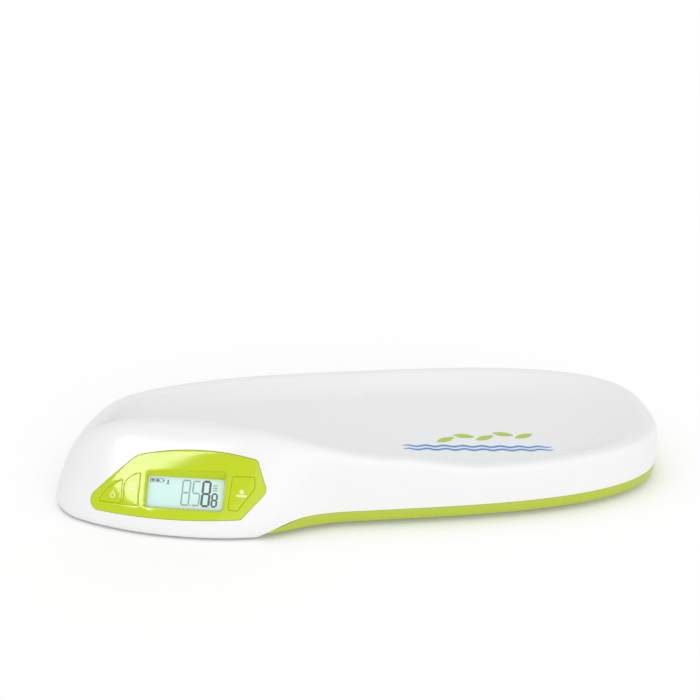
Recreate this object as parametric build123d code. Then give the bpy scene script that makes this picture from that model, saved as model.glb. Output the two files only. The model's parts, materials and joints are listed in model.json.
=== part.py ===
from build123d import *
import functools
import math
import os

# Digital baby weighing scale: a white tray with a console hood on its front head-end corner, on a green
# base with four load-cell feet. Millimetres. +X points to the foot end, -Y to the console, +Z up, and
# Z = 0 is the floor under the foot pads.

# Outline of the housing, seen from above
FOOT_REACH = 280.0
HEAD_REACH = 311.0
HALF_WIDTH = 136.5
FOOT_SQUARENESS = 2.9
HEAD_SQUARENESS = 3.0
HEAD_SHEAR = 0.24

# Heights of the tray
RIM_HEIGHT = 54.0
HOOD_RISE = 37.0
WIDEST_HEIGHT = 17.0
TOE_HEIGHT = 36.8
BED_HEIGHT = 34.0
BED_SAG = 1.4
BED_Y = 5.0

# Rim and walls of the tray
RIM_WIDTH = 9.0
HOOD_EXTRA_RIM = 4.0
SIDE_SLOPE = 24.0
FOOT_SLOPE = 34.0
HEAD_SLOPE = -9.0
SHOULDER_INSET = 16.0

# Console hood
PANEL_TURN = 14.5
PANEL_LEAN = 33.0
HOOD_FORWARD = 20.0
HOOD_BACK = 39.0

# Moulding
WALL = 2.5
JOINT_HEIGHT = 17.0
SKIRT_HEIGHT = 2.4
JOINT_GAP = 0.3
LIP_CLEARANCE = 0.3
LIP_WALL = 2.2
LIP_RISE = 4.0
NOTCH_SHIFT = (-16.0, 2.8)
NOTCH_SIZE = (153.0, 75.0)
NOTCH_LOW = 12.2
UNDERSIDE = 6.0
FLOOR_THICKNESS = 2.5
FLOOR = UNDERSIDE + FLOOR_THICKNESS
FRONT_STEP = -80.0
BACK_STEP = -175.0
STEP_LENGTH = 51.0
STEP_MIDDLE = 0.67
STEP_STEEPNESS = (0.6, 1)

# Panel and display, in the panel's own plane: X to the right, Y up the slope, Z out of the face
PANEL_CENTRE = (-194.5, -127.8, 39.9)
PRISM_LOW = -22.0
PRISM_HIGH = 24.0
PANEL_GAP = 0.15
SEAT_GAP = 0.1
LEDGE = 3.0
LEDGE_WALL = 1.5
TIP = (-105.0, -15.1)
PANEL_LOW = (-8.0, -24.8)
LOW_RIGHT = (53.0, -20.9)
RIGHT = (75.5, 6.0)
TOP_RIGHT = (65.0, 33.8)
PANEL_TOP = (7.0, 40.6)
TOP_LEFT = (-50.0, 33.5)
TIP_RADIUS = 10.0
LOW_RIGHT_RADIUS = 4.0
RIGHT_RADIUS = 9.0
TOP_RIGHT_RADIUS = 4.0
TOP_LEFT_RADIUS = 22.0
DISPLAY_CENTRE = (-1.6, 0.9)
DISPLAY_SIZE = (71.6, 28.7)
DISPLAY_DEPTH = 6.0
DISPLAY_CORNER = 1.2
WELL_CENTRE = (-1.0, 2.6)
WELL_SIZE = (75.0, 36.0)
WELL_WALL = 1.8
WELL_TOP = 6.0
CORNER_GROWTH = 0.3
LENS = 1.2
LENS_MARGIN = 0.2
GLASS = 1.1
GLASS_MARGIN = 1.2
GLASS_LEDGE = 2.4
UPPER_GLASS_OVERLAP = 1.2
BACKLIGHT = 3.9
BACKLIGHT_MARGIN = 0.5
HOLDER_TOP_GAP = 0.4
HOLDER_MARGIN = 1.0
HOLDER_WALL = 1.6
STACK_GAP = 0.3
ZEBRA_WIDTH = 1.6
ZEBRA_MARGIN = 3.0

# Keys and their switches
LEFT_KEY = ((-61.7, 10.0), (-61.7, -12.5), (-84.5, -10.2))
LEFT_KEY_BOW = (-75.2, 2.4)
MIDDLE_KEY = ((-59.8, 5.7), (-59.8, -13.3), (-44.3, -13.7), (-44.1, 16.8))
MIDDLE_KEY_BOW = (-54.2, 13.1)
RIGHT_KEY = ((42.8, 17.9), (63.2, 18.6), (64.2, 8.6), (49.2, -13.3), (40.2, -12.8))
KEY_GAP = 0.25
KEY_CORNER = 1.0
LEFT_KEY_TIP = 1.4
MIDDLE_KEY_TIP = 2.0
RIGHT_KEY_CORNER = 1.6
KEY_FLANGE = 0.6
KEY_FLANGE_THICKNESS = 1.2
KEY_TRAVEL = 0.5
KEY_CENTRES = {"left": (-69.0, -3.0), "middle": (-51.5, 0.0), "right": (51.5, 4.0)}
STEM_RADIUS = 2.2
POST_TOP = 8.0
SWITCH_SIZE = 6.0
SWITCH_HEIGHT = 4.3
SWITCH_RISE = 1.1
PLUNGER_RADIUS = 1.65
PLUNGER_CLEARANCE = 0.1
PLUNGER_FLOOR = 1.0
BOARD_DEPTH = 19.0
BOARD = 1.6
BOARD_INSET = 4.0
BOARD_POSTS = ((-38.0, 27.0), (38.0, 27.0), (-52.0, -16.9), (44.5, -16.9))
POST_RADIUS = 2.2
BOARD_SCREW_RADIUS = 0.9
BOARD_SCREW_LENGTH = 6.0
BOARD_SCREW_HEAD = (2.0, 1.4)
HEAD_OVERLAP = 0.4
SCREW_TIP_GAP = 0.6
CHIPS = ((-34, 12, 10, 6, 1.8), (-8, 8, 10, 10, 1.5))
CAPACITOR = (3.0, 6.0)
CAPACITOR_PLACES = ((14, 14), (24, 14))
CRYSTAL = (11.0, 4.6, 3.5)
CRYSTAL_PLACE = (-21, -4)
SOCKET = (7.0, 6.0, 5.4)
SOCKET_FIRST = 5.0
SOCKET_PITCH = 8.2
SOCKET_COUNT = 5
SOCKET_ROW = -14.0

# Feet and load cells
FEET_X = (FOOT_REACH - 80, 111 - HEAD_REACH)
FEET_Y = HALF_WIDTH - 54.5
PAD_RADIUS = 13.0
PAD_HEIGHT = 3.0
PAD_SEAT = 1.0
PAD_CLEARANCE = 0.2
PAD_ROUND = 0.8
FOOT_RADIUS = 15.0
FOOT_CLEARANCE = 0.6
COLLAR = 2.0
COLLAR_HEIGHT = 1.2
COLLAR_ROOM = 9.0
NUB_RADIUS = 3.0
CELL_SIZE = 40.0
CELL_CORNER = 6.0
CELL_THICKNESS = 1.5
CELL_HEIGHT = 11.0
CELL_SLOT = 2.0
TONGUE_WIDTH = 20.0
CELL_POST = 16.5
CELL_POST_RADIUS = 3.0
PEG_RADIUS = 1.2
PEG_CLEARANCE = 0.2
PEG_RISE = 0.8
GAUGE = (8.0, 6.0, 2.4)
GAUGE_ROUND = 0.8
WELL_RING = 1.8

# Leads
LEAD_RADIUS = 1.2
LEAD_BEND = 5.0
LEAD_GAP = 0.3
LEAD_OVERHANG = 4.0
LEAD_TURN = 8.0
LEAD_ROWS = (HALF_WIDTH - 46.5, HALF_WIDTH - 38.5, HALF_WIDTH - 30.5)
BATTERY_LEAD = (-62, -8)
CLIPPED_RUN = 40.0
STRAIGHT = 0.01
BEND_SHARE = 0.45
CLIP_WALL = 1.2
CLIP_LENGTH = 5.0

# Battery bay
CELL_COUNT = 4
BATTERY_RADIUS = 5.25
BATTERY_LENGTH = 44.5
BATTERY_NUB = (1.9, 0.8)
BATTERY_PITCH = 11.3
BATTERY_CLEARANCE = 0.3
BATTERY_LIFT = 1.3
BATTERY_ROUND = 0.6
SPRING_ROOM = 6.0
SPRING_GAP = 0.2
SPRING_WIDTH = 4.0
SPRING_LENGTH = 7.0
CONTACT = 0.4
CONTACT_GAP = 0.1
CONTACT_SIZE = 7.6
BAY_ROOF = 1.6
BAY_MARGIN = 2.0
DOOR_THICKNESS = 1.7
DOOR_OVERLAP = 3.4
DOOR_GAP = 0.3
HOOK_WIDTH = 7.0
HOOK_SPREAD = 13.0
HOOK_REACH = 2.6
HOOK_THICKNESS = 1.2
HOOK_ROOM = 0.4
LATCH_WIDTH = 14.0
LATCH_SLIT = 1.0
LATCH_LENGTH = 12.0
CATCH = 1.6
CATCH_WIDTH = 12.0
CATCH_INSET = 1.0
DOOR_RIB = 1.0
DOOR_RIB_MARGIN = 8.0
GRIP_RIB = 0.8
GRIP_WIDTH = 11.0
GRIP_PLACES = (4.0, 6.0, 8.0)
SINK = 0.5
SCOOP_RADIUS = 8.4
SCOOP_DEPTH = 6.5

# Screws of the housing
SCREW_RADIUS = 1.45
SCREW_HEAD = (2.8, 2.2)
SCREW_HEAD_ROUND = 0.7
SCREW_CROSS = (3.2, 0.7, 2.2)
SCREW_HOLE_GAP = 0.25
HEAD_HOLE_GAP = 0.6
SCREW_LENGTH = 13.0
THREAD_GAP = 0.05
PILLAR_RADIUS = 5.0
PILLAR_TOP = 14.7
BOSS_RADIUS = 4.0
SCREW_SEAT = 11.0
SCREW_ROW = HALF_WIDTH - 56.5
SCREW_PLACES = (
    (FOOT_REACH - 55, 0),
    (83 - HEAD_REACH, 12),
    (88, SCREW_ROW),
    (88, -SCREW_ROW),
    (-95, SCREW_ROW),
    (-80, 4 - SCREW_ROW),
)
RIB = 1.6
RIB_HEIGHT = 5.5
RIB_LENGTH = 300.0
RIB_WIDTH = 110.0
RIB_ROWS = (-36.0, 0.0, 36.0)
RIB_COLUMNS = (-140.0, -70.0, 0.0, 70.0, 140.0)

STATIONS = 90
FAR = 400.0


# ---- The housing's skin: one cross-section of fourteen control points, carried round the plan outline ----

def ease(start, end, x):
    """Smooth step from 0 at start to 1 at end."""
    t = min(max((x - start) / (end - start), 0.0), 1.0)
    return t ** 3 * (t * (6 * t - 15) + 10)


def window(x, rise_from, rise_to, fall_from, fall_to):
    return ease(rise_from, rise_to, x) * (1 - ease(fall_from, fall_to, x))


def signed_power(x, power):
    return math.copysign(abs(x) ** power, x)


def sheared(x, y):
    """The head end leans across the plan: its front corner lies further out than its back corner."""
    return x + HEAD_SHEAR * y * ease(0, HEAD_REACH, -x)


OUTWARD = (-math.sin(math.radians(PANEL_TURN)), -math.cos(math.radians(PANEL_TURN)))


def plan(angle, inset, back, z):
    """Point of the plan outline, inset from it and moved back from the console's face."""
    c = math.cos(math.radians(angle))
    s = math.sin(math.radians(angle))
    reach, squareness = (FOOT_REACH, FOOT_SQUARENESS) if c > 0 else (HEAD_REACH, HEAD_SQUARENESS)
    x = (reach - inset) * signed_power(c, 2 / squareness)
    y = (HALF_WIDTH - inset) * signed_power(s, 2 / squareness)
    return Vector(sheared(x, y) - back * OUTWARD[0], y - back * OUTWARD[1], z)


@functools.lru_cache(None)
def section(angle):
    """Control points of the cross-section, from the floor up over the rim and down to the bed."""
    hood = window(angle, 172, 228, 232, 275)
    forward = HOOD_FORWARD * window(angle, 212, 264, 255, 268)
    back = HOOD_BACK * hood
    shoulder = SHOULDER_INSET * window(angle, 138, 178, 188, 230)
    crest = RIM_HEIGHT + HOOD_RISE * window(angle, 176, 242, 250, 284)
    skirt = window(angle, 150, 215, 250, 262)
    rim = RIM_WIDTH + HOOD_EXTRA_RIM * hood
    c = math.cos(math.radians(angle))
    slope = SIDE_SLOPE + FOOT_SLOPE * max(c, 0) ** 2 + HEAD_SLOPE * max(-c, 0) ** 2
    widest = plan(angle, 0, -forward, WIDEST_HEIGHT)
    edge = plan(angle, shoulder, back, crest)
    toe = plan(angle, shoulder + rim + slope, 0.97 * back, TOE_HEIGHT)

    def bed(along, across, sink):
        return Vector(toe.X * along, BED_Y + (toe.Y - BED_Y) * across, BED_HEIGHT + BED_SAG - sink)

    return (
        plan(angle, 7 - 4.5 * skirt, -forward, 0),
        plan(angle, 3.2 - 2.9 * skirt, -forward, 3.5),
        plan(angle, 0.2 - skirt, -forward, 10),
        widest + (edge - widest) * 0.12,
        widest + (edge - widest) * 0.5,
        widest + (edge - widest) * 0.85,
        plan(angle, shoulder + 0.35 * rim, back, crest),
        plan(angle, shoulder + rim, back, crest),
        plan(angle, shoulder + 1.7 * rim, back, crest),
        plan(angle, shoulder + rim + 0.6 * slope, back, TOE_HEIGHT + 0.38 * (crest - TOE_HEIGHT)),
        toe,
        bed(0.95, 0.9, 0),
        bed(0.9, 0.78, 0.7 * BED_SAG),
        bed(0.82, 0.62, BED_SAG),
    )


SPANS = 15


def raw_skin(angle, v):
    """Uniform cubic B-spline through the section's control points, v from 0 at the floor to SPANS."""
    row = section(round(angle % 360, 6))
    row = (row[0], row[0], *row, row[-1], row[-1])
    first = min(int(v), SPANS - 1)
    t = v - first
    weights = ((1 - t) ** 3, 3 * t ** 3 - 6 * t ** 2 + 4, -3 * t ** 3 + 3 * t ** 2 + 3 * t + 1, t ** 3)
    point = Vector(0, 0, 0)
    for weight, control in zip(weights, row[first:first + 4]):
        point += control * (weight / 6)
    return point


def middle(values):
    return (min(values) + max(values)) / 2


OUTLINE = [raw_skin(angle, v) for angle in range(360) for v in (2, 3, 4)]
CENTRE = Vector(middle([p.X for p in OUTLINE]), middle([p.Y for p in OUTLINE]), 0)


def skin(angle, v):
    return raw_skin(angle, v) - CENTRE


def inner_point(angle, v, inset):
    """Point below the skin by inset, measured square to it."""
    if not inset:
        return skin(angle, v)
    along = skin(angle, min(v + 0.02, SPANS)) - skin(angle, max(v - 0.02, 0))
    around = skin(angle + 0.05, v) - skin(angle - 0.05, v)
    outward = around.cross(along)
    if v == 0:
        outward = Vector(outward.X, outward.Y, 0)
    if v == SPANS:
        outward = Vector(0, 0, 1)
    return skin(angle, v) - outward.normalized() * inset


def station(k):
    """Angles that lie evenly along the squared-off outline."""
    turn = 2 * math.pi * k / STATIONS
    return math.degrees(math.atan2(signed_power(math.sin(turn), 1.45), signed_power(math.cos(turn), 1.45)))


ANGLES = [station(k) for k in range(STATIONS)]
STEPS = [(skin(b, 3) - skin(a, 3)).length for a, b in zip(ANGLES, ANGLES[1:] + ANGLES[:1])]
PARAMETERS = [sum(STEPS[:k]) / sum(STEPS) for k in range(STATIONS + 1)]


def loop_wire(points):
    """Closed curve through the points, in two halves so that no surface lofted from it closes on itself."""
    half = STATIONS // 2
    halves = []
    for first in (0, half):
        run = [points[k % STATIONS] for k in range(first, first + half + 1)]
        ends = first, (first + half) % STATIONS
        tangents = [points[(k + 1) % STATIONS] - points[k - 1] for k in ends]
        parameters = PARAMETERS[first:first + half + 1]
        halves.append(Edge.make_spline(run, tangents=tangents, parameters=parameters))
    return Wire(halves)


@functools.lru_cache(None)
def skin_solid(inset):
    """Everything inside the skin, or inside a surface that runs below it by inset."""
    stages = [step / 2 for step in range(2 * SPANS + 1)]
    return Solid.make_loft([loop_wire([inner_point(a, v, inset) for a in ANGLES]) for v in stages])


def slab(inset, low, high):
    """What lies inside the skin, or a surface below it, between two heights."""
    return skin_solid(inset) & (Pos(0, 0, (low + high) / 2) * Box(2 * FAR, FAR, high - low))


def place(x, y):
    """Point given from the outline's own middle, in the part's frame."""
    return Vector(x, y, 0) - CENTRE


# ---- Panel plane ----

def panel_plane():
    turn, lean = math.radians(PANEL_TURN), math.radians(PANEL_LEAN)
    across = Vector(math.cos(turn), -math.sin(turn), 0)
    normal = Vector(-math.sin(turn) * math.cos(lean), -math.cos(turn) * math.cos(lean), math.sin(lean))
    return Plane(origin=Vector(*PANEL_CENTRE) - CENTRE, x_dir=across, z_dir=normal)


PANEL = panel_plane()


def on_panel(x, y, z):
    return PANEL.from_local_coords(Vector(x, y, z))


def prism(face, low=PRISM_LOW, high=PRISM_HIGH):
    """Straight block over a face drawn in the panel's plane."""
    return PANEL.from_local_coords(Pos(0, 0, low) * extrude(face, high - low))


@functools.lru_cache(None)
def sunk_skin(depth):
    """The skin's solid, moved straight into the panel by depth."""
    return skin_solid(0.0).moved(Location(PANEL.z_dir * -depth))


def panel_block(x, y, size_x, size_y, low, high):
    box = Pos(x, y, (low + high) / 2) * Box(size_x, size_y, high - low)
    return PANEL.from_local_coords(box)


def panel_rod(x, y, radius, low, high):
    rod = Pos(x, y, (low + high) / 2) * Cylinder(radius, high - low)
    return PANEL.from_local_coords(rod)


def rounded(face, corners):
    """Rounds the corners of a flat face nearest to the given points."""
    for corner, radius in corners:
        vertex = min(face.vertices(), key=lambda v: (v.center() - Vector(*corner)).length)
        face = fillet(vertex, radius)
    return face


def panel_face():
    edges = [
        ThreePointArc(TIP, PANEL_LOW, LOW_RIGHT),
        Line(LOW_RIGHT, RIGHT),
        Line(RIGHT, TOP_RIGHT),
        ThreePointArc(TOP_RIGHT, PANEL_TOP, TOP_LEFT),
        Line(TOP_LEFT, TIP),
    ]
    corners = [
        (TIP, TIP_RADIUS),
        (LOW_RIGHT, LOW_RIGHT_RADIUS),
        (RIGHT, RIGHT_RADIUS),
        (TOP_RIGHT, TOP_RIGHT_RADIUS),
        (TOP_LEFT, TOP_LEFT_RADIUS),
    ]
    return rounded(make_face(edges), corners)


def left_key_face():
    top, low, far = LEFT_KEY
    edges = [Line(top, low), Line(low, far), ThreePointArc(far, LEFT_KEY_BOW, top)]
    return rounded(make_face(edges), [(top, KEY_CORNER), (low, KEY_CORNER), (far, LEFT_KEY_TIP)])


def middle_key_face():
    left, low_left, low_right, top = MIDDLE_KEY
    edges = [
        Line(left, low_left),
        Line(low_left, low_right),
        Line(low_right, top),
        ThreePointArc(top, MIDDLE_KEY_BOW, left),
    ]
    corners = [(left, MIDDLE_KEY_TIP), (low_left, KEY_CORNER), (low_right, KEY_CORNER), (top, KEY_CORNER)]
    return rounded(make_face(edges), corners)


def right_key_face():
    edges = [Line(a, b) for a, b in zip(RIGHT_KEY, RIGHT_KEY[1:] + RIGHT_KEY[:1])]
    return rounded(make_face(edges), [(corner, RIGHT_KEY_CORNER) for corner in RIGHT_KEY])


KEY_FACES = {"left": left_key_face, "middle": middle_key_face, "right": right_key_face}


def grown(face, amount):
    return offset(face, amount=amount, kind=Kind.ARC) if amount > 0 else offset(face, amount=amount)


# ---- Housing ----

def joint_side(step, top, low_y):
    """What lies under the joint line on one side: level, then down in a curve, then the skirt's edge."""
    curve = Spline(
        (step - STEP_LENGTH, SKIRT_HEIGHT),
        (step - STEP_MIDDLE * STEP_LENGTH, (SKIRT_HEIGHT + top) / 2),
        (step, top),
        tangents=(STEP_STEEPNESS, (1, 0)),
    )
    edges = [
        Polyline((step - STEP_LENGTH, SKIRT_HEIGHT), (-FAR, SKIRT_HEIGHT), (-FAR, -FAR), (FAR, -FAR),
                 (FAR, top), (step, top)),
        curve,
    ]
    face = Plane.XZ * make_face(edges)
    return Pos(-CENTRE.X, low_y - CENTRE.Y, 0) * extrude(face, FAR, dir=(0, 1, 0))


def under_joint(gap):
    """Everything below the joint between tray and base."""
    top = JOINT_HEIGHT - gap
    return joint_side(FRONT_STEP, top, -FAR) + joint_side(BACK_STEP, top, 0)


def screw_bosses():
    bosses = []
    low = PILLAR_TOP + JOINT_GAP
    for x, y in SCREW_PLACES:
        post = column(place(x, y), BOSS_RADIUS, low, RIM_HEIGHT)
        pilot = column(place(x, y), SCREW_RADIUS + THREAD_GAP, 0, SCREW_SEAT + SCREW_LENGTH + 1)
        bosses.append((post & skin_solid(WALL / 2)) - pilot)
    return bosses


def bed_ribs():
    top = BED_HEIGHT - WALL / 2
    centre = Pos(place(0, 0)) * Pos(0, BED_Y, top - RIB_HEIGHT / 2)
    rows = [centre * Pos(0, y, 0) * Box(RIB_LENGTH, RIB, RIB_HEIGHT) for y in RIB_ROWS]
    columns = [centre * Pos(x, 0, 0) * Box(RIB, RIB_WIDTH, RIB_HEIGHT) for x in RIB_COLUMNS]
    return rows + columns


def top_shell():
    """Tray and hood: the skin's solid, emptied from below but for a step behind the panel opening."""
    face = panel_face()
    step = prism(grown(face, LEDGE_WALL)) - sunk_skin(2 * WALL)
    shell = (skin_solid(0.0) - under_joint(0)) - (skin_solid(WALL) - step)
    shell -= prism(face) - sunk_skin(WALL + SEAT_GAP)
    shell -= prism(grown(face, -LEDGE))
    for piece in screw_bosses() + bed_ribs():
        shell += piece
    return shell


def column(centre, radius, low, high):
    return Pos(centre.X, centre.Y, (low + high) / 2) * Cylinder(radius, high - low)


def foot_centres():
    return [place(sheared(x, y), y) for x in FEET_X for y in (FEET_Y, -FEET_Y)]


def cell_pegs(centre):
    return [centre + Vector(x, y, 0) for x in (-CELL_POST, CELL_POST) for y in (-CELL_POST, CELL_POST)]


BAY_INNER = (BATTERY_LENGTH + SPRING_ROOM + 2 * (CONTACT + CONTACT_GAP), CELL_COUNT * BATTERY_PITCH)
BAY = place(0, 0)
BATTERY_Z = UNDERSIDE + DOOR_THICKNESS + BATTERY_LIFT + BATTERY_RADIUS
BATTERY_ROWS = [(k - (CELL_COUNT - 1) / 2) * BATTERY_PITCH for k in range(CELL_COUNT)]
DOOR_SIZE = (BAY_INNER[0] + 2 * DOOR_OVERLAP, BAY_INNER[1] + 2 * DOOR_OVERLAP)
HINGE_X = BAY.X - DOOR_SIZE[0] / 2 - DOOR_GAP
HOOK_LOW = UNDERSIDE + DOOR_THICKNESS + 2 * DOOR_GAP


def bay_box(x, y, z_low, z_high, size_x, size_y):
    return Pos(BAY.X + x, BAY.Y + y, (z_low + z_high) / 2) * Box(size_x, size_y, z_high - z_low)


def battery_rod(y, radius, length):
    return Pos(BAY.X, BAY.Y + y, BATTERY_Z) * Rot(0, 90, 0) * Cylinder(radius, length)


def bay_block():
    top = BATTERY_Z + BATTERY_RADIUS + BATTERY_CLEARANCE + BAY_ROOF
    return bay_box(0, 0, UNDERSIDE, top, DOOR_SIZE[0] + BAY_MARGIN, DOOR_SIZE[1] + BAY_MARGIN)


def bay_room():
    """Room for the cells, their door, its hooks and the finger scoop."""
    room = bay_box(0, 0, 0, BATTERY_Z, *BAY_INNER)
    for y in BATTERY_ROWS:
        room += battery_rod(y, BATTERY_RADIUS + BATTERY_CLEARANCE, BAY_INNER[0])
    top = UNDERSIDE + DOOR_THICKNESS + DOOR_GAP
    room += bay_box(0, 0, 0, top, DOOR_SIZE[0] + 2 * DOOR_GAP, DOOR_SIZE[1] + 2 * DOOR_GAP)
    pocket_size = (CATCH + 2 * DOOR_GAP, CATCH_WIDTH + 2 * DOOR_GAP)
    room += bay_box(DOOR_SIZE[0] / 2 - CATCH_INSET, 0, UNDERSIDE, top + CATCH, *pocket_size)
    reach = HOOK_REACH + 1.0
    sweep = math.hypot(HOOK_REACH + DOOR_GAP, HOOK_LOW + HOOK_THICKNESS - UNDERSIDE) + HOOK_ROOM
    for y in (-HOOK_SPREAD, HOOK_SPREAD):
        length = DOOR_OVERLAP + reach + 1
        slot = Pos(HINGE_X - reach + length / 2, BAY.Y + y, UNDERSIDE + sweep / 2)
        low = (top - UNDERSIDE) / 2
        room += slot * Pos(0, 0, low) * Box(length, HOOK_WIDTH + 1, sweep - 2 * low)
    scoop = Pos(BAY.X + DOOR_SIZE[0] / 2 + BAY_MARGIN, BAY.Y, UNDERSIDE - SCOOP_DEPTH) * Sphere(SCOOP_RADIUS)
    return room + scoop


def clip_walls(start, end):
    """Two low walls that hold a lead between them on the floor."""
    run = end - start
    turn = math.degrees(math.atan2(run.Y, run.X))
    spread = LEAD_RADIUS + LEAD_GAP + CLIP_WALL / 2
    height = 2 * LEAD_RADIUS + LEAD_GAP
    centre = start + run / 2
    spot = Pos(centre.X, centre.Y, FLOOR + height / 2) * Rot(0, 0, turn)
    return [spot * Pos(0, side * spread, 0) * Box(CLIP_LENGTH, CLIP_WALL, height) for side in (-1, 1)]


def foot_well(centre):
    """Ring, posts and pegs round one foot, and the holes they need."""
    inner = FOOT_RADIUS + COLLAR + FOOT_CLEARANCE
    solid = [column(centre, inner + WELL_RING, FLOOR - 1, FLOOR + COLLAR_HEIGHT)]
    hole = [
        column(centre, inner, FLOOR, FLOOR + COLLAR_ROOM),
        column(centre, FOOT_RADIUS + FOOT_CLEARANCE, 0, FLOOR + 1),
    ]
    pegs = []
    for peg in cell_pegs(centre):
        pegs.append(column(peg, CELL_POST_RADIUS, FLOOR - 1, CELL_HEIGHT))
        pegs.append(column(peg, PEG_RADIUS, CELL_HEIGHT - 1, CELL_HEIGHT + CELL_THICKNESS + PEG_RISE))
    return solid, hole, pegs


def screw_pillar(spot):
    solid = [column(spot, PILLAR_RADIUS, FLOOR - 1, PILLAR_TOP)]
    hole = [
        column(spot, SCREW_RADIUS + SCREW_HOLE_GAP, 0, PILLAR_TOP + 1),
        column(spot, SCREW_HEAD[0] + HEAD_HOLE_GAP, 0, SCREW_SEAT),
    ]
    return solid, hole


def lip_notch():
    """Where the lip stays low, under the step that carries the panel."""
    centre = place(PANEL_CENTRE[0] + NOTCH_SHIFT[0], PANEL_CENTRE[1] + NOTCH_SHIFT[1])
    return Pos(centre.X, centre.Y, NOTCH_LOW + FAR / 2) * Box(*NOTCH_SIZE, FAR)


def base_shell():
    inset = WALL + LIP_CLEARANCE
    lip_top = JOINT_HEIGHT + LIP_RISE
    band = slab(0.0, UNDERSIDE, JOINT_HEIGHT + 1) & under_joint(JOINT_GAP)
    shell = (band + slab(inset, UNDERSIDE, lip_top)) - slab(inset + LIP_WALL, FLOOR, lip_top + 2)
    shell = (shell - lip_notch()) + bay_block()
    for centre in foot_centres():
        solid, hole, pegs = foot_well(centre)
        shell = shell.fuse(*solid).cut(*hole).fuse(*pegs)
    for x, y in SCREW_PLACES:
        solid, hole = screw_pillar(place(x, y))
        shell = shell.fuse(*solid).cut(*hole)
    for _, stretches in lead_routes().values():
        for start, end in stretches:
            shell = shell.fuse(*clip_walls(start, end))
    return shell - bay_room()


def battery_door():
    """Ribbed door with two hooks on its hinge edge and a sprung latch with grip ribs on the other."""
    low, top = UNDERSIDE, UNDERSIDE + DOOR_THICKNESS
    door = bay_box(0, 0, low, top, *DOOR_SIZE)
    for y in BATTERY_ROWS[:-1]:
        rib_length = BAY_INNER[0] - 2 * DOOR_RIB_MARGIN
        door += bay_box(0, y + BATTERY_PITCH / 2, top - SINK, top + DOOR_RIB, rib_length, DOOR_RIB)
    edge = DOOR_SIZE[0] / 2
    root = DOOR_OVERLAP - 3 * DOOR_GAP
    hook_top = HOOK_LOW + HOOK_THICKNESS
    reach = HOOK_REACH + DOOR_GAP + SINK
    for y in (-HOOK_SPREAD, HOOK_SPREAD):
        door += bay_box(root / 2 - edge, y, low + SINK, hook_top, root, HOOK_WIDTH)
        door += bay_box(SINK - edge - reach / 2, y, HOOK_LOW, hook_top, reach, HOOK_WIDTH)
    for side in (-1, 1):
        slit_y = side * (LATCH_WIDTH + LATCH_SLIT) / 2
        door -= bay_box(edge - LATCH_LENGTH / 2, slit_y, 0, FAR, LATCH_LENGTH, LATCH_SLIT)
    door += bay_box(edge - CATCH_INSET, 0, top - SINK, top + CATCH, CATCH, CATCH_WIDTH)
    for inset in GRIP_PLACES:
        door += bay_box(edge - inset, 0, low - GRIP_RIB / 2, low + GRIP_RIB / 2, GRIP_RIB, GRIP_WIDTH)
    return door


def batteries():
    cells = []
    nub_radius, nub_height = BATTERY_NUB
    body = BATTERY_LENGTH - nub_height
    for k, y in enumerate(BATTERY_ROWS):
        facing = 1 if k % 2 == 0 else -1
        cell = Cylinder(BATTERY_RADIUS, body)
        cell = fillet(cell.edges().filter_by(GeomType.CIRCLE), BATTERY_ROUND)
        cell += Pos(0, 0, (body + nub_height - SINK) / 2) * Cylinder(nub_radius, nub_height + SINK)
        shift = facing * (SPRING_ROOM - nub_height) / 2
        cells.append(Pos(BAY.X + shift, BAY.Y + y, BATTERY_Z) * Rot(0, 90 * facing, 0) * cell)
    return cells


def contact_places():
    """Each cell's spring end and nub end: row, side of the bay."""
    for k, y in enumerate(BATTERY_ROWS):
        facing = 1 if k % 2 == 0 else -1
        yield y, -facing, facing


def battery_plates():
    plates = []
    inner = BAY_INNER[0] / 2 - CONTACT / 2
    for y, spring_side, nub_side in contact_places():
        for side in (spring_side, nub_side):
            plate = Pos(BAY.X + side * inner, BAY.Y + y, BATTERY_Z) * Box(CONTACT, CONTACT_SIZE, CONTACT_SIZE)
            plates.append(plate)
    return plates


def battery_springs():
    """Bowed leaf springs: each stands on its plate with both ends and meets the cell with its crown."""
    rise = SPRING_ROOM - 2 * SPRING_GAP
    half = SPRING_LENGTH / 2
    outer = ThreePointArc((0, -half), (rise, 0), (0, half))
    inner = ThreePointArc((0, CONTACT - half), (rise - CONTACT, 0), (0, half - CONTACT))
    bow = make_face([outer, Line(outer @ 1, inner @ 1), inner, Line(inner @ 0, outer @ 0)])
    leaf = Rot(90, 0, 0) * extrude(bow, SPRING_WIDTH / 2, both=True)
    springs = []
    for y, spring_side, _ in contact_places():
        foot = spring_side * (BAY_INNER[0] / 2 - CONTACT - CONTACT_GAP)
        turn = 90 + 90 * spring_side
        springs.append(Pos(BAY.X + foot, BAY.Y + y, BATTERY_Z) * Rot(0, 0, turn) * leaf)
    return springs


def housing_screws():
    head_radius, head_height = SCREW_HEAD
    screws = []
    for x, y in SCREW_PLACES:
        spot = place(x, y)
        screw = column(spot, SCREW_RADIUS, SCREW_SEAT - 0.5, SCREW_SEAT + SCREW_LENGTH)
        head = column(spot, head_radius, SCREW_SEAT - head_height, SCREW_SEAT)
        head = fillet(head.edges().filter_by(GeomType.CIRCLE).sort_by(Axis.Z)[0], SCREW_HEAD_ROUND)
        for turn in (0, 90):
            head -= Pos(spot.X, spot.Y, SCREW_SEAT - head_height) * Rot(0, 0, turn) * Box(*SCREW_CROSS)
        screws.append(screw + head)
    return screws


# ---- Feet ----

def foot_pad(centre):
    pad = column(centre, PAD_RADIUS, 0, PAD_HEIGHT)
    return fillet(pad.edges().filter_by(GeomType.CIRCLE).sort_by(Axis.Z)[0], PAD_ROUND)


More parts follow.
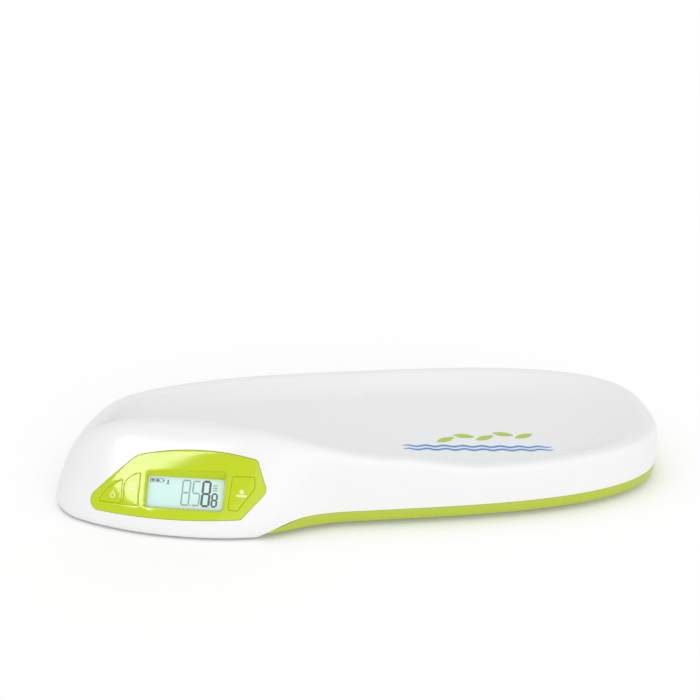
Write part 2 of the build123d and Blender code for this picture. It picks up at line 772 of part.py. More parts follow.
def foot_holder(centre):
    low = PAD_HEIGHT - PAD_SEAT
    collar_low = FLOOR + JOINT_GAP
    foot = column(centre, FOOT_RADIUS, low, collar_low + 0.5)
    foot = fillet(foot.edges().filter_by(GeomType.CIRCLE).sort_by(Axis.Z)[0], 1.0)
    foot += column(centre, FOOT_RADIUS + COLLAR, collar_low, collar_low + COLLAR_HEIGHT)
    foot += column(centre, NUB_RADIUS, collar_low, CELL_HEIGHT)
    return foot - column(centre, PAD_RADIUS + PAD_CLEARANCE, 0, PAD_HEIGHT)


def load_cell(centre):
    plate = extrude(RectangleRounded(CELL_SIZE, CELL_SIZE, CELL_CORNER), CELL_THICKNESS)
    reach = TONGUE_WIDTH / 2 + CELL_SLOT
    slot = Box(2 * reach, 2 * reach, 9) - Pos(0, -CELL_SLOT, 0) * Box(TONGUE_WIDTH, 2 * reach, 9)
    plate -= slot
    plate = Pos(centre.X, centre.Y, CELL_HEIGHT) * plate
    for peg in cell_pegs(centre):
        plate -= column(peg, PEG_RADIUS + PEG_CLEARANCE, 0, 20)
    return plate


def strain_gauge(centre):
    size_x, size_y, height = GAUGE
    block = Box(size_x, size_y, height)
    block = fillet(block.edges().filter_by(Axis.Z) + block.edges().group_by(Axis.Z)[-1], GAUGE_ROUND)
    return Pos(centre.X, centre.Y, CELL_HEIGHT + CELL_THICKNESS + height / 2) * block


# ---- Console ----

def well(margin, low, high):
    """Tapered well from the panel's face down to the display, grown sideways by margin."""
    slope = []
    corner = DISPLAY_CORNER + CORNER_GROWTH * margin
    for level in (low, high):
        share = (level + DISPLAY_DEPTH) / DISPLAY_DEPTH
        x = DISPLAY_CENTRE[0] + (WELL_CENTRE[0] - DISPLAY_CENTRE[0]) * share
        y = DISPLAY_CENTRE[1] + (WELL_CENTRE[1] - DISPLAY_CENTRE[1]) * share
        wide = DISPLAY_SIZE[0] + (WELL_SIZE[0] - DISPLAY_SIZE[0]) * share + 2 * margin
        high_size = DISPLAY_SIZE[1] + (WELL_SIZE[1] - DISPLAY_SIZE[1]) * share + 2 * margin
        slope.append(Pos(x, y, level) * RectangleRounded(wide, high_size, corner))
    return PANEL.from_local_coords(loft(slope))


def console_bezel():
    panel = (prism(grown(panel_face(), -PANEL_GAP)) & skin_solid(0.0)) - sunk_skin(WALL)
    panel += well(WELL_WALL, -DISPLAY_DEPTH, WELL_TOP) & sunk_skin(WALL / 2)
    panel -= well(0, -DISPLAY_DEPTH, WELL_TOP)
    for face in KEY_FACES.values():
        panel -= prism(face())
    for x, y in BOARD_POSTS:
        panel += panel_rod(x, y, POST_RADIUS, -BOARD_DEPTH, POST_TOP) & sunk_skin(WALL / 2)
        hole_top = BOARD_SCREW_LENGTH - BOARD_DEPTH
        panel -= panel_rod(x, y, BOARD_SCREW_RADIUS + THREAD_GAP, -BOARD_DEPTH - 1, hole_top)
    return panel


LENS_TOP = -DISPLAY_DEPTH - SEAT_GAP
GLASS_TOP = LENS_TOP - LENS - STACK_GAP
LIGHT_TOP = GLASS_TOP - 2 * GLASS - STACK_GAP
GLASS_SIZE = (DISPLAY_SIZE[0] + 2 * GLASS_MARGIN, DISPLAY_SIZE[1] + 2 * GLASS_MARGIN)


def display_lens():
    wide, high = (size + 2 * (WELL_WALL - LENS_MARGIN) for size in DISPLAY_SIZE)
    return panel_block(*DISPLAY_CENTRE, wide, high, LENS_TOP - LENS, LENS_TOP)


def lcd_glass():
    x, y = DISPLAY_CENTRE
    wide, high = GLASS_SIZE
    upper_high = high - 2 * (GLASS_LEDGE - UPPER_GLASS_OVERLAP)
    upper = panel_block(x, y, wide, upper_high, GLASS_TOP - GLASS, GLASS_TOP)
    lower = panel_block(x, y, wide, high, GLASS_TOP - 2 * GLASS, GLASS_TOP - GLASS)
    return [upper, lower]


def lcd_backlight():
    wide, high = GLASS_SIZE
    light_wide = wide - 2 * BACKLIGHT_MARGIN
    light_high = high - 2 * GLASS_LEDGE - UPPER_GLASS_OVERLAP
    return panel_block(*DISPLAY_CENTRE, light_wide, light_high, LIGHT_TOP - BACKLIGHT, LIGHT_TOP)


def lcd_holder():
    wide, high = GLASS_SIZE
    x, y = DISPLAY_CENTRE
    outer = panel_block(x, y, wide + 2 * (STACK_GAP + HOLDER_WALL), high + 2 * (STACK_GAP + HOLDER_WALL),
                        -BOARD_DEPTH, GLASS_TOP - HOLDER_TOP_GAP)
    shelf_top = LIGHT_TOP - BACKLIGHT
    room = panel_block(x, y, wide + 2 * STACK_GAP, high + 2 * STACK_GAP, shelf_top, 0)
    opening = wide - 2 * HOLDER_MARGIN
    strips = panel_block(x, y, opening, high, -BOARD_DEPTH - 1, 0)
    bridge_high = high - 2 * (GLASS_LEDGE + STACK_GAP)
    bridge = panel_block(x, y, opening, bridge_high, -BOARD_DEPTH, shelf_top)
    return outer - room - strips + bridge


def zebra_strips():
    wide, high = GLASS_SIZE
    x, y = DISPLAY_CENTRE
    strips = []
    for side in (-1, 1):
        row = y + side * (high - GLASS_LEDGE) / 2
        length = wide - 2 * ZEBRA_MARGIN
        strips.append(panel_block(x, row, length, ZEBRA_WIDTH, -BOARD_DEPTH, GLASS_TOP - 2 * GLASS))
    return strips


PLUNGER_TOP = SWITCH_HEIGHT + SWITCH_RISE - BOARD_DEPTH


def key(name):
    face = KEY_FACES[name]()
    foot = WALL + SEAT_GAP + KEY_GAP + KEY_FLANGE_THICKNESS
    cap = (prism(grown(face, -KEY_GAP)) & skin_solid(0.0)) - sunk_skin(foot)
    flange = (prism(grown(face, KEY_FLANGE)) & sunk_skin(WALL + KEY_GAP)) - sunk_skin(foot)
    x, y = KEY_CENTRES[name]
    stem = panel_rod(x, y, STEM_RADIUS, PLUNGER_TOP, POST_TOP) & sunk_skin(WALL / 2)
    return cap + flange + stem


def plunger(name):
    low = PLUNGER_FLOOR + 2 * KEY_TRAVEL - BOARD_DEPTH
    return panel_rod(*KEY_CENTRES[name], PLUNGER_RADIUS, low, PLUNGER_TOP)


def switch_bodies():
    bodies = []
    for x, y in KEY_CENTRES.values():
        body = panel_block(x, y, SWITCH_SIZE, SWITCH_SIZE, -BOARD_DEPTH, SWITCH_HEIGHT - BOARD_DEPTH)
        bore = panel_rod(x, y, PLUNGER_RADIUS + PLUNGER_CLEARANCE, PLUNGER_FLOOR - BOARD_DEPTH, 0)
        bodies.append(body - bore)
    return bodies


def main_board():
    face = grown(panel_face(), -BOARD_INSET)
    board = PANEL.from_local_coords(Pos(0, 0, -BOARD_DEPTH - BOARD) * extrude(face, BOARD))
    for x, y in BOARD_POSTS:
        board -= panel_rod(x, y, BOARD_SCREW_RADIUS + STACK_GAP, PRISM_LOW, 0)
    return board


def board_chips():
    """Square chips, tall round capacitors and one oblong crystal on the board's back."""
    back = -BOARD_DEPTH - BOARD
    chips = [panel_block(x, y, wide, high, back - tall, back) for x, y, wide, high, tall in CHIPS]
    chips += [panel_rod(x, y, CAPACITOR[0], back - CAPACITOR[1], back) for x, y in CAPACITOR_PLACES]
    wide, high, tall = CRYSTAL
    crystal = extrude(Pos(*CRYSTAL_PLACE, back - tall) * SlotOverall(wide, high), tall)
    return chips + [PANEL.from_local_coords(crystal)]


def socket_x(k):
    return SOCKET_FIRST + SOCKET_PITCH * k


def board_connectors():
    back = -BOARD_DEPTH - BOARD
    wide, high, deep = SOCKET
    sockets = []
    for k in range(SOCKET_COUNT):
        body = panel_block(socket_x(k), SOCKET_ROW, wide, high, back - deep, back)
        sockets.append(body)
    return sockets


def board_screws():
    back = -BOARD_DEPTH - BOARD
    head_radius, head_height = BOARD_SCREW_HEAD
    tip = BOARD_SCREW_LENGTH - BOARD_DEPTH - SCREW_TIP_GAP
    screws = []
    for x, y in BOARD_POSTS:
        shank = panel_rod(x, y, BOARD_SCREW_RADIUS, back - HEAD_OVERLAP, tip)
        head = panel_rod(x, y, head_radius, back - head_height, back)
        screws.append(shank + head)
    return screws


# ---- Leads ----

def socket_mouth(k):
    """Where a lead leaves its socket, and where it comes down to the floor."""
    out = -BOARD_DEPTH - BOARD - SOCKET[2] - LEAD_GAP
    mouth = on_panel(socket_x(k), SOCKET_ROW, out)
    drop = mouth.Z - (FLOOR + LEAD_GAP + LEAD_RADIUS)
    landing = mouth - PANEL.z_dir * (drop / PANEL.z_dir.Z)
    return mouth, landing


def floor_point(x, y):
    spot = place(x, y)
    return Vector(spot.X, spot.Y, FLOOR + LEAD_GAP + LEAD_RADIUS)


def cell_exit(centre, way):
    """Lead over a load cell's plate, from the gauge's edge down to the floor beyond the plate."""
    z = CELL_HEIGHT + CELL_THICKNESS + LEAD_GAP + LEAD_RADIUS
    gap = LEAD_GAP + (GAUGE[0] if way.X else GAUGE[1]) / 2
    start = centre + way * gap
    over = centre + way * (CELL_SIZE / 2 + LEAD_OVERHANG)
    down = centre + way * (CELL_SIZE / 2 + 3 * LEAD_OVERHANG)
    low = FLOOR + LEAD_GAP + LEAD_RADIUS
    return [Vector(start.X, start.Y, z), Vector(over.X, over.Y, z), Vector(down.X, down.Y, low)]


@functools.lru_cache(None)
def lead_routes():
    """Points of each lead from its far end to its socket, and the straight stretches that clips hold."""
    back_foot, front_foot, back_head, front_head = foot_centres()
    foot_x, head_x = FEET_X
    left, right, front = Vector(-1, 0, 0), Vector(1, 0, 0), Vector(0, -1, 0)
    stops = {
        1: (cell_exit(back_foot, left), [(foot_x - 70, FEET_Y), (foot_x - 70, -LEAD_ROWS[1])], 3),
        2: (cell_exit(front_foot, left), [(foot_x - 50, -FEET_Y), (foot_x - 50, -LEAD_ROWS[2])], 4),
        3: (cell_exit(back_head, front), [(head_x + 19.5, 20), (head_x + 28, 0)], 1),
        4: (cell_exit(front_head, right), [], 0),
    }
    routes = {}
    for number, (start, turns, socket) in stops.items():
        mouth, landing = socket_mouth(socket)
        points = start + [floor_point(*turn) for turn in turns]
        row = points[-1]
        corner = Vector(landing.X + LEAD_TURN, row.Y, row.Z)
        if number == 3:
            corner = Vector(row.X, landing.Y + 2 * LEAD_TURN, row.Z)
        points += [corner, landing, mouth]
        clips = [(a, b) for a, b in zip(points, points[1:]) if a.Z == b.Z and (b - a).length > CLIPPED_RUN]
        routes[f"cell_lead_{number}"] = (points, clips)
    mouth, landing = socket_mouth(2)
    side, row = BATTERY_LEAD
    start_x = BAY.X - (DOOR_SIZE[0] + BAY_MARGIN) / 2 - LEAD_GAP
    start = Vector(start_x, BAY.Y + row, FLOOR + LEAD_GAP + LEAD_RADIUS)
    points = [start, floor_point(side, row), floor_point(side, -LEAD_ROWS[0])]
    points += [Vector(landing.X + LEAD_TURN, points[-1].Y, points[-1].Z), landing, mouth]
    clips = [(a, b) for a, b in zip(points, points[1:]) if a.Z == b.Z and (b - a).length > CLIPPED_RUN]
    routes["battery_lead"] = (points, clips)
    return routes


def lead(points):
    """Round lead along straight runs joined by tangent arcs."""
    edges = []
    here = points[0]
    for before, corner, after in zip(points, points[1:], points[2:]):
        arrive = (corner - before).normalized()
        leave = (after - corner).normalized()
        half = math.acos(max(-1, min(1, arrive.dot(leave)))) / 2
        if half < STRAIGHT:
            continue
        longest = BEND_SHARE * min((corner - before).length, (after - corner).length)
        cut = min(LEAD_BEND * math.tan(half), longest)
        entry, leaving = corner - arrive * cut, corner + leave * cut
        edges.append(Line(here, entry))
        edges.append(TangentArc(entry, leaving, tangent=arrive))
        here = leaving
    edges.append(Line(here, points[-1]))
    path = Wire([edge for part in edges for edge in part.edges()])
    profile = Plane(origin=points[0], z_dir=(points[1] - points[0])) * Circle(LEAD_RADIUS)
    return sweep(profile, path=path)


# ---- Output ----

def pieces():
    yield "top_shell", [top_shell()]
    yield "base_shell", [base_shell()]
    yield "console_bezel", [console_bezel()]
    yield "display_lens", [display_lens()]
    yield "lcd_glass", lcd_glass()
    yield "lcd_backlight", [lcd_backlight()]
    yield "lcd_holder", [lcd_holder()]
    yield "zebra_strips", zebra_strips()
    for name in KEY_FACES:
        yield f"button_{name}", [key(name)]
        yield f"plunger_{name}", [plunger(name)]
    yield "switch_bodies", switch_bodies()
    yield "main_board", [main_board()]
    yield "board_chips", board_chips()
    yield "board_connectors", board_connectors()
    yield "board_screws", board_screws()
    yield "housing_screws", housing_screws()
    for number, centre in enumerate(foot_centres(), 1):
        yield f"foot_pad_{number}", [foot_pad(centre)]
        yield f"foot_holder_{number}", [foot_holder(centre)]
        yield f"load_cell_{number}", [load_cell(centre)]
        yield f"strain_gauge_{number}", [strain_gauge(centre)]
    for name, (points, _) in lead_routes().items():
        yield name, [lead(points)]
    yield "battery_door", [battery_door()]
    for number, cell in enumerate(batteries(), 1):
        yield f"battery_{number}", [cell]
    yield "battery_springs", battery_springs()
    yield "battery_plates", battery_plates()


def main():
    os.makedirs("parts", exist_ok=True)
    for name, solids in pieces():
        shape = solids[0] if len(solids) == 1 else Compound(children=solids)
        export_step(shape, f"parts/{name}.step")


main()
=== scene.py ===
"""Looks of a digital baby weighing scale: white tray with a console hood, on a green base.

Laid out as an add-on and run as a script. Each surface is a function of two parameters on a grid, or a flat
outline filled and lifted onto the housing's skin. Lengths are metres in the part's own frame; the skin's
formula works in millimetres, as the housing was drawn.
"""
import json
import math

import bmesh
import bpy
import numpy as np
from bpy.props import FloatProperty, FloatVectorProperty, PointerProperty
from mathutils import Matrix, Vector
from mathutils.bvhtree import BVHTree
from mathutils.geometry import delaunay_2d_cdt

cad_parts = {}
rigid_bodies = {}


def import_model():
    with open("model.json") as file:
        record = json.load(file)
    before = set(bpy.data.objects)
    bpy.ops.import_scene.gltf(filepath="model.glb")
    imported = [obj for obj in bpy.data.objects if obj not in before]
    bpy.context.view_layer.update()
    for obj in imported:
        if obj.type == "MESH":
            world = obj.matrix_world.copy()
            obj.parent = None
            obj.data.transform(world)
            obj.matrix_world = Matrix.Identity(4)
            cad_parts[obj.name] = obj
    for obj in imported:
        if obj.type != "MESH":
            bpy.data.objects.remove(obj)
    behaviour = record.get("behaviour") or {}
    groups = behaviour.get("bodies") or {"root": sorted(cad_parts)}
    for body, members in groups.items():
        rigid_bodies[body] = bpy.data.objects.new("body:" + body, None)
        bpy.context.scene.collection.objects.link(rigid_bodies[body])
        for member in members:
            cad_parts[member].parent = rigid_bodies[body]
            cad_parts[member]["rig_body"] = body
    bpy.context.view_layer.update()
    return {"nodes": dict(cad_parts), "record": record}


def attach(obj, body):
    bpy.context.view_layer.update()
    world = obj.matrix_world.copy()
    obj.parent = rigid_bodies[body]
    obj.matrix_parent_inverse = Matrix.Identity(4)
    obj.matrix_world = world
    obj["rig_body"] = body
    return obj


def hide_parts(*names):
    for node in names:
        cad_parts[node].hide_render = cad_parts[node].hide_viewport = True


bl_info = {
    "name": "Baby Weighing Scale",
    "version": (1, 0, 0),
    "blender": (4, 5, 0),
    "location": "View3D > Sidebar > Baby Scale",
    "description": "Builds the tray, console, display, keys and base of a baby weighing scale",
    "category": "Add Mesh",
}

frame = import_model()

MM = 0.001
ROOT = "scale"


# ---- Sizes and finishes that a user would change ----

def length(name, text, default):
    """Length property, its default given in millimetres."""
    return FloatProperty(name=name, description=text, default=default * MM, unit="LENGTH")


def plain(name, text, default):
    """Plain number."""
    return FloatProperty(name=name, description=text, default=default)


def colour(name, text, default):
    """Colour property."""
    return FloatVectorProperty(name=name, description=text, default=default, subtype="COLOR", min=0, max=1)


class HousingForm(bpy.types.PropertyGroup):
    """Main sizes of the housing's skin."""

    foot_reach: length("Foot reach", "From the outline's middle to the foot end", 280)
    head_reach: length("Head reach", "From the outline's middle to the head end", 311)
    half_width: length("Half width", "From the outline's middle to the back edge", 136.5)
    rim_height: length("Rim height", "Height of the rim away from the console", 54)
    hood_rise: length("Hood rise", "How far the console hood stands above the rim", 37)
    wall: length("Wall", "Thickness of the mouldings", 2.5)
    joint_height: length("Joint height", "Height of the joint between tray and base", 17)
    skirt_height: length("Skirt height", "Height of the tray's lowest edge", 2.4)


class Finishes(bpy.types.PropertyGroup):
    """Colours of the visible mouldings."""

    shell: colour("Tray", "White of the tray", (0.86, 0.86, 0.865))
    green: colour("Panel", "Yellow-green of panel and keys", (0.52, 0.65, 0.006))
    base: colour("Base", "Yellow-green of the base", (0.47, 0.57, 0.045))
    display: colour("Display", "Pale ground of the display", (0.69, 0.93, 0.91))
    segment: colour("Segments", "Dark segments of the display", (0.02, 0.045, 0.045))


class StageSettings(bpy.types.PropertyGroup):
    """Camera and lamps."""

    lens: plain("Lens", "Focal length of the camera", 77.14)
    softbox: plain("Softbox", "Strength of the box mirrored in the panel", 15.9)
    sun: plain("Broad light", "Strength of the even light from the front", 0.78)
    world: plain("Surroundings", "Strength of the surrounding light", 0.85)


# ---- The housing's skin, in millimetres; angles are degrees round the plan, from the foot end ----

SPANS = 15
FOOT_SQUARENESS, HEAD_SQUARENESS, HEAD_SHEAR = 2.9, 3.0, 0.24
WIDEST_HEIGHT, TOE_HEIGHT, BED_HEIGHT, BED_SAG, BED_Y = 17.0, 36.8, 34.0, 1.4, 5.0
RIM_WIDTH, HOOD_EXTRA_RIM = 9.0, 4.0
SIDE_SLOPE, FOOT_SLOPE, HEAD_SLOPE, SHOULDER_INSET = 24.0, 34.0, -9.0, 16.0
PANEL_TURN, PANEL_LEAN = math.radians(14.5), math.radians(33.0)
HOOD_FORWARD, HOOD_BACK = 20.0, 39.0
FRONT_STEP, BACK_STEP, STEP_LENGTH, STEP_POWER = -80.0, -175.0, 51.0, 1.75
OUTWARD = np.array([-math.sin(PANEL_TURN), -math.cos(PANEL_TURN)])

# Where the hood's features rise from and to, and fall from and to
HOOD_SPAN = (172, 228, 232, 275)
FORWARD_SPAN = (212, 264, 255, 268)
SHOULDER_SPAN = (138, 178, 188, 230)
CREST_SPAN = (176, 242, 250, 284)
SKIRT_SPAN = (150, 215, 250, 262)

# Rows of control points. Lower rows: inset, what the skirt takes off it, height. Wall and rim: shares of the
# wall's rise and of the rim's width. Landing: shares of the slope's run and of the crest's rise over the toe.
# Toe: share of the hood's setback. Bed: shares of the toe's reach and width, and of the sag.
LOWER_ROWS = ((7, 4.5, 0), (3.2, 2.9, 3.5), (0.2, 1, 10))
WALL_SHARES = (0.12, 0.5, 0.85)
RIM_SHARES = (0.35, 1, 1.7)
LANDING_RUN, LANDING_RISE, TOE_BACK = 0.6, 0.38, 0.97
BED_ROWS = ((0.95, 0.9, 0), (0.9, 0.78, 0.7), (0.82, 0.62, 1))

# Values of v: where the outline is widest, and a bound over the joint line, which is found by halving
WIDEST_ROWS, JOINT_BELOW, HALVINGS = (2.0, 3.0, 4.0), 6.0, 30


def ease(start, end, x):
    """Smooth step of the fifth order, 0 before start and 1 after end."""
    t = np.clip((x - start) / (end - start), 0, 1)
    return t ** 3 * (t * (6 * t - 15) + 10)


def window(x, rise_from, rise_to, fall_from, fall_to):
    """One smooth step up times one smooth step down."""
    return ease(rise_from, rise_to, x) * (1 - ease(fall_from, fall_to, x))


def signed_power(x, power):
    """Power of the size of x, with the sign of x."""
    return np.sign(x) * np.abs(x) ** power


def plan(angle, inset, back, z):
    """Superellipse of the plan outline, inset, its head half sheared, moved back from the console's face."""
    form = bpy.context.scene.housing_form
    c, s = np.cos(np.radians(angle)), np.sin(np.radians(angle))
    reach = np.where(c > 0, form.foot_reach, form.head_reach) / MM
    squareness = np.where(c > 0, FOOT_SQUARENESS, HEAD_SQUARENESS)
    x = (reach - inset) * signed_power(c, 2 / squareness)
    y = (form.half_width / MM - inset) * signed_power(s, 2 / squareness)
    x = x + HEAD_SHEAR * y * ease(0, form.head_reach / MM, -x)
    return np.stack([x - back * OUTWARD[0], y - back * OUTWARD[1], z + 0 * x], -1)


def section(angle):
    """Fourteen control points of the cross-section at each angle, from the floor over the rim to the bed."""
    form = bpy.context.scene.housing_form
    angle = np.mod(angle, 360)
    hood = window(angle, *HOOD_SPAN)
    forward = HOOD_FORWARD * window(angle, *FORWARD_SPAN)
    back = HOOD_BACK * hood
    shoulder = SHOULDER_INSET * window(angle, *SHOULDER_SPAN)
    crest = form.rim_height / MM + form.hood_rise / MM * window(angle, *CREST_SPAN)
    skirt = window(angle, *SKIRT_SPAN)
    rim = RIM_WIDTH + HOOD_EXTRA_RIM * hood
    c = np.cos(np.radians(angle))
    slope = SIDE_SLOPE + FOOT_SLOPE * np.clip(c, 0, 1) ** 2 + HEAD_SLOPE * np.clip(-c, 0, 1) ** 2
    widest = plan(angle, 0, -forward, WIDEST_HEIGHT)
    edge = plan(angle, shoulder, back, crest)
    landing = TOE_HEIGHT + LANDING_RISE * (crest - TOE_HEIGHT)
    toe = plan(angle, shoulder + rim + slope, TOE_BACK * back, TOE_HEIGHT)
    level = BED_HEIGHT + BED_SAG + 0 * angle
    rows = [plan(angle, inset - less * skirt, -forward, height) for inset, less, height in LOWER_ROWS]
    rows += [widest + (edge - widest) * share for share in WALL_SHARES]
    rows += [plan(angle, shoulder + share * rim, back, crest) for share in RIM_SHARES]
    rows += [plan(angle, shoulder + rim + LANDING_RUN * slope, back, landing), toe]
    for along, across, sag in BED_ROWS:
        y = BED_Y + (toe[..., 1] - BED_Y) * across
        rows.append(np.stack([toe[..., 0] * along, y, level - sag * BED_SAG], -1))
    return np.stack(rows)


def raw_skin(angle, v):
    """Uniform cubic B-spline through each section's control points; v runs from 0 at the floor to SPANS."""
    angle, v = np.broadcast_arrays(np.asarray(angle, float), np.asarray(v, float))
    controls = section(angle)
    controls = np.concatenate([controls[:1]] * 2 + [controls] + [controls[-1:]] * 2)
    first = np.minimum(v.astype(int), SPANS - 1)
    t = v - first
    weights = np.stack([(1 - t) ** 3, 3 * t ** 3 - 6 * t ** 2 + 4,
                        -3 * t ** 3 + 3 * t ** 2 + 3 * t + 1, t ** 3]) / 6
    point = np.zeros(v.shape + (3,))
    for k, weight in enumerate(weights):
        point += weight[..., None] * np.take_along_axis(controls, (first + k)[None, ..., None], 0)[0]
    return point


def outline_middle():
    """Middle of the plan outline's box, which the frame has at its origin."""
    angle, v = np.meshgrid(np.arange(360.0), WIDEST_ROWS)
    points = raw_skin(angle, v)[..., :2].reshape(-1, 2)
    return np.append((points.min(0) + points.max(0)) / 2, 0)


def skin(angle, v):
    """Skin in the frame's metres."""
    return (raw_skin(angle, v) - bpy.context.scene["outline_middle"]) * MM


def joint_height(x, y):
    """Height of the joint line: level, down the step by a power curve, then level at the skirt's edge."""
    form = bpy.context.scene.housing_form
    start = np.where(y < 0, FRONT_STEP, BACK_STEP)
    u = np.clip((x - start) / STEP_LENGTH + 1, 0, 1)
    return (form.skirt_height + (form.joint_height - form.skirt_height) * (1 - (1 - u) ** STEP_POWER)) / MM


def joint_parameter(angle):
    """v at which the skin crosses the joint line, by bisection."""
    low, high = np.zeros_like(angle), np.full_like(angle, JOINT_BELOW)
    for _ in range(HALVINGS):
        v = (low + high) / 2
        point = raw_skin(angle, v)
        above = point[..., 2] > joint_height(point[..., 0], point[..., 1])
        low, high = np.where(above, low, v), np.where(above, v, high)
    return low


# ---- Panel plane: X across, Y up the slope, Z out of the face, in millimetres ----

PANEL_CENTRE = np.array([-194.5, -127.8, 39.9])
PANEL_ACROSS = np.array([math.cos(PANEL_TURN), -math.sin(PANEL_TURN), 0])
PANEL_NORMAL = np.array([-math.sin(PANEL_TURN) * math.cos(PANEL_LEAN),
                         -math.cos(PANEL_TURN) * math.cos(PANEL_LEAN), math.sin(PANEL_LEAN)])
PANEL_AXES = np.stack([PANEL_ACROSS, np.cross(PANEL_NORMAL, PANEL_ACROSS), PANEL_NORMAL])

# Samples of the skin round the console, and the steps that find a point between them
HOOD_ANGLES, HOOD_ROWS = np.arange(190, 285, 1.0), np.arange(2.4, 9.0, 0.1)
ANGLE_STEP, ROW_STEP, NEWTON_STEPS = 0.05, 0.005, 8


def to_panel(points):
    """Frame metres to panel millimetres."""
    return (points / MM + bpy.context.scene["outline_middle"] - PANEL_CENTRE) @ PANEL_AXES.T


def from_panel(points):
    """Panel millimetres to frame metres."""
    return (points @ PANEL_AXES + PANEL_CENTRE - bpy.context.scene["outline_middle"]) * MM


def at_height(flat, height):
    """Flat panel points at one height over the panel plane, in the frame's metres."""
    return from_panel(np.column_stack([flat, np.full(len(flat), height)]))


def skin_depth(x, y):
    """Height of the skin over the panel plane at (x, y), by Newton steps from the nearest sample."""
    angle, v = np.meshgrid(HOOD_ANGLES, HOOD_ROWS)
    samples = to_panel(skin(angle, v))[..., :2].reshape(-1, 2)
    target = np.stack([x, y], -1)
    nearest = np.array([np.argmin(((samples - p) ** 2).sum(1)) for p in target])
    a, w = angle.ravel()[nearest].copy(), v.ravel()[nearest].copy()
    for _ in range(NEWTON_STEPS):
        here = to_panel(skin(a, w))
        by_angle = (to_panel(skin(a + ANGLE_STEP, w)) - here)[:, :2] / ANGLE_STEP
        by_v = (to_panel(skin(a, w + ROW_STEP)) - here)[:, :2] / ROW_STEP
        miss = target - here[:, :2]
        det = by_angle[:, 0] * by_v[:, 1] - by_angle[:, 1] * by_v[:, 0]
        a += (miss[:, 0] * by_v[:, 1] - miss[:, 1] * by_v[:, 0]) / det
        w += (by_angle[:, 0] * miss[:, 1] - by_angle[:, 1] * miss[:, 0]) / det
    return to_panel(skin(a, w))[:, 2]


# ---- Meshes ----

# Metres within which points are one, and degrees over which an edge stays sharp
MERGE, CAD_MERGE = 1e-6, 2e-6
TRAY_SHARP, CONSOLE_SHARP, CAD_SHARP = 50, 60, 32


def new_object(name, data):
    """Object at the origin, in the scene's collection."""
    made = bpy.data.objects.new(name, data)
    bpy.context.scene.collection.objects.link(made)
    return made


def new_piece(name, surface, finish, body=ROOT, sharp=None):
    """A gathered surface as a mesh that rides on a body, smooth but for edges over the sharp angle."""
    mesh = bpy.data.meshes.new(name)
    mesh.from_pydata(np.vstack(surface.vertices).tolist(), [], surface.faces)
    mesh.update()
    mesh.materials.append(finish_of(finish))
    piece = new_object(name, mesh)
    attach(piece, body)
    finish_mesh(piece, sharp, MERGE)
    return piece


def copy_of_node(node, finish):
    """The CAD node's own form with its doubles merged and its curves shaded smooth."""
    source = frame["nodes"][node]
    piece = new_object(node + "_finished", source.data.copy())
    piece.data.materials.clear()
    piece.data.materials.append(finish_of(finish))
    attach(piece, source["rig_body"])
    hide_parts(node)
    finish_mesh(piece, CAD_SHARP, CAD_MERGE)


def finish_mesh(piece, sharp, merge):
    """Merges doubles, drops loose points, and shades smooth but for open edges and sharp ones."""
    work = bmesh.new()
    work.from_mesh(piece.data)
    bmesh.ops.remove_doubles(work, verts=work.verts, dist=merge)
    bmesh.ops.delete(work, geom=[vert for vert in work.verts if not vert.link_faces], context="VERTS")
    limit = math.inf if sharp is None else math.radians(sharp)
    for face in work.faces:
        face.smooth = True
    for edge in work.edges:
        edge.smooth = len(edge.link_faces) == 2 and edge.calc_face_angle(0) < limit
    work.to_mesh(piece.data)
    work.free()
    piece.data.update()


def thicken(piece, wall):
    """Gives a sheet its wall, inwards."""
    solid = piece.modifiers.new("Wall", "SOLIDIFY")
    solid.thickness = wall
    solid.offset = -1
    solid.use_even_offset = True


def grid_faces(rows, columns, closed=True):
    """Quads of a grid whose columns run round; rows go up."""
    across = np.arange(columns if closed else columns - 1)
    row, column = np.meshgrid(np.arange(rows - 1), across, indexing="ij")
    after = (column + 1) % columns
    a, b = row * columns + column, row * columns + after
    return np.stack([a, b, b + columns, a + columns], -1).reshape(-1, 4).tolist()


class Surface:
    """Vertices and faces of one piece, gathered from several sheets."""

    def __init__(self):
        self.vertices, self.faces, self.count = [], [], 0

    def add(self, vertices, faces):
        """Adds a sheet with its own numbering of vertices."""
        self.vertices.append(vertices)
        self.faces += [[index + self.count for index in face] for face in faces]
        self.count += len(vertices)
        return self

    def add_rows(self, rows):
        """Adds a band between closed rows of as many points each."""
        return self.add(np.vstack(rows), grid_faces(len(rows), len(rows[0])))


# ---- Outlines in the panel plane ----

SIDE_POINTS, ARC_POINTS, COARSE_STEP, FEWEST_POINTS = 1600, 60, 4, 12
PANEL_STEP, KEY_STEP = 0.8, 0.5

# Sides of each outline, anticlockwise: start, a point that it bows through, radius of the corner at its end
OUTLINES = {
    "panel": (((-105.0, -15.1), (-8.0, -24.8), 4), ((53.0, -20.9), None, 9), ((75.5, 6.0), None, 4),
              ((65.0, 33.8), (7.0, 40.6), 22), ((-50.0, 33.5), None, 10)),
    "left": (((-84.5, -10.2), None, 1.0), ((-61.7, -12.5), None, 1.0), ((-61.7, 10.0), (-75.2, 2.4), 1.4)),
    "middle": (((-59.8, 5.7), None, 1.0), ((-59.8, -13.3), None, 1.0), ((-44.3, -13.7), None, 1.0),
               ((-44.1, 16.8), (-54.2, 13.1), 2.0)),
    "right": (((40.2, -12.8), None, 1.6), ((49.2, -13.3), None, 1.6), ((64.2, 8.6), None, 1.6),
              ((63.2, 18.6), None, 1.6), ((42.8, 17.9), None, 1.6)),
}
KEYS = ("left", "middle", "right")


def arc(centre, radius, angles):
    """Points of a circle at the given angles."""
    return centre + radius * np.stack([np.cos(angles), np.sin(angles)], -1)


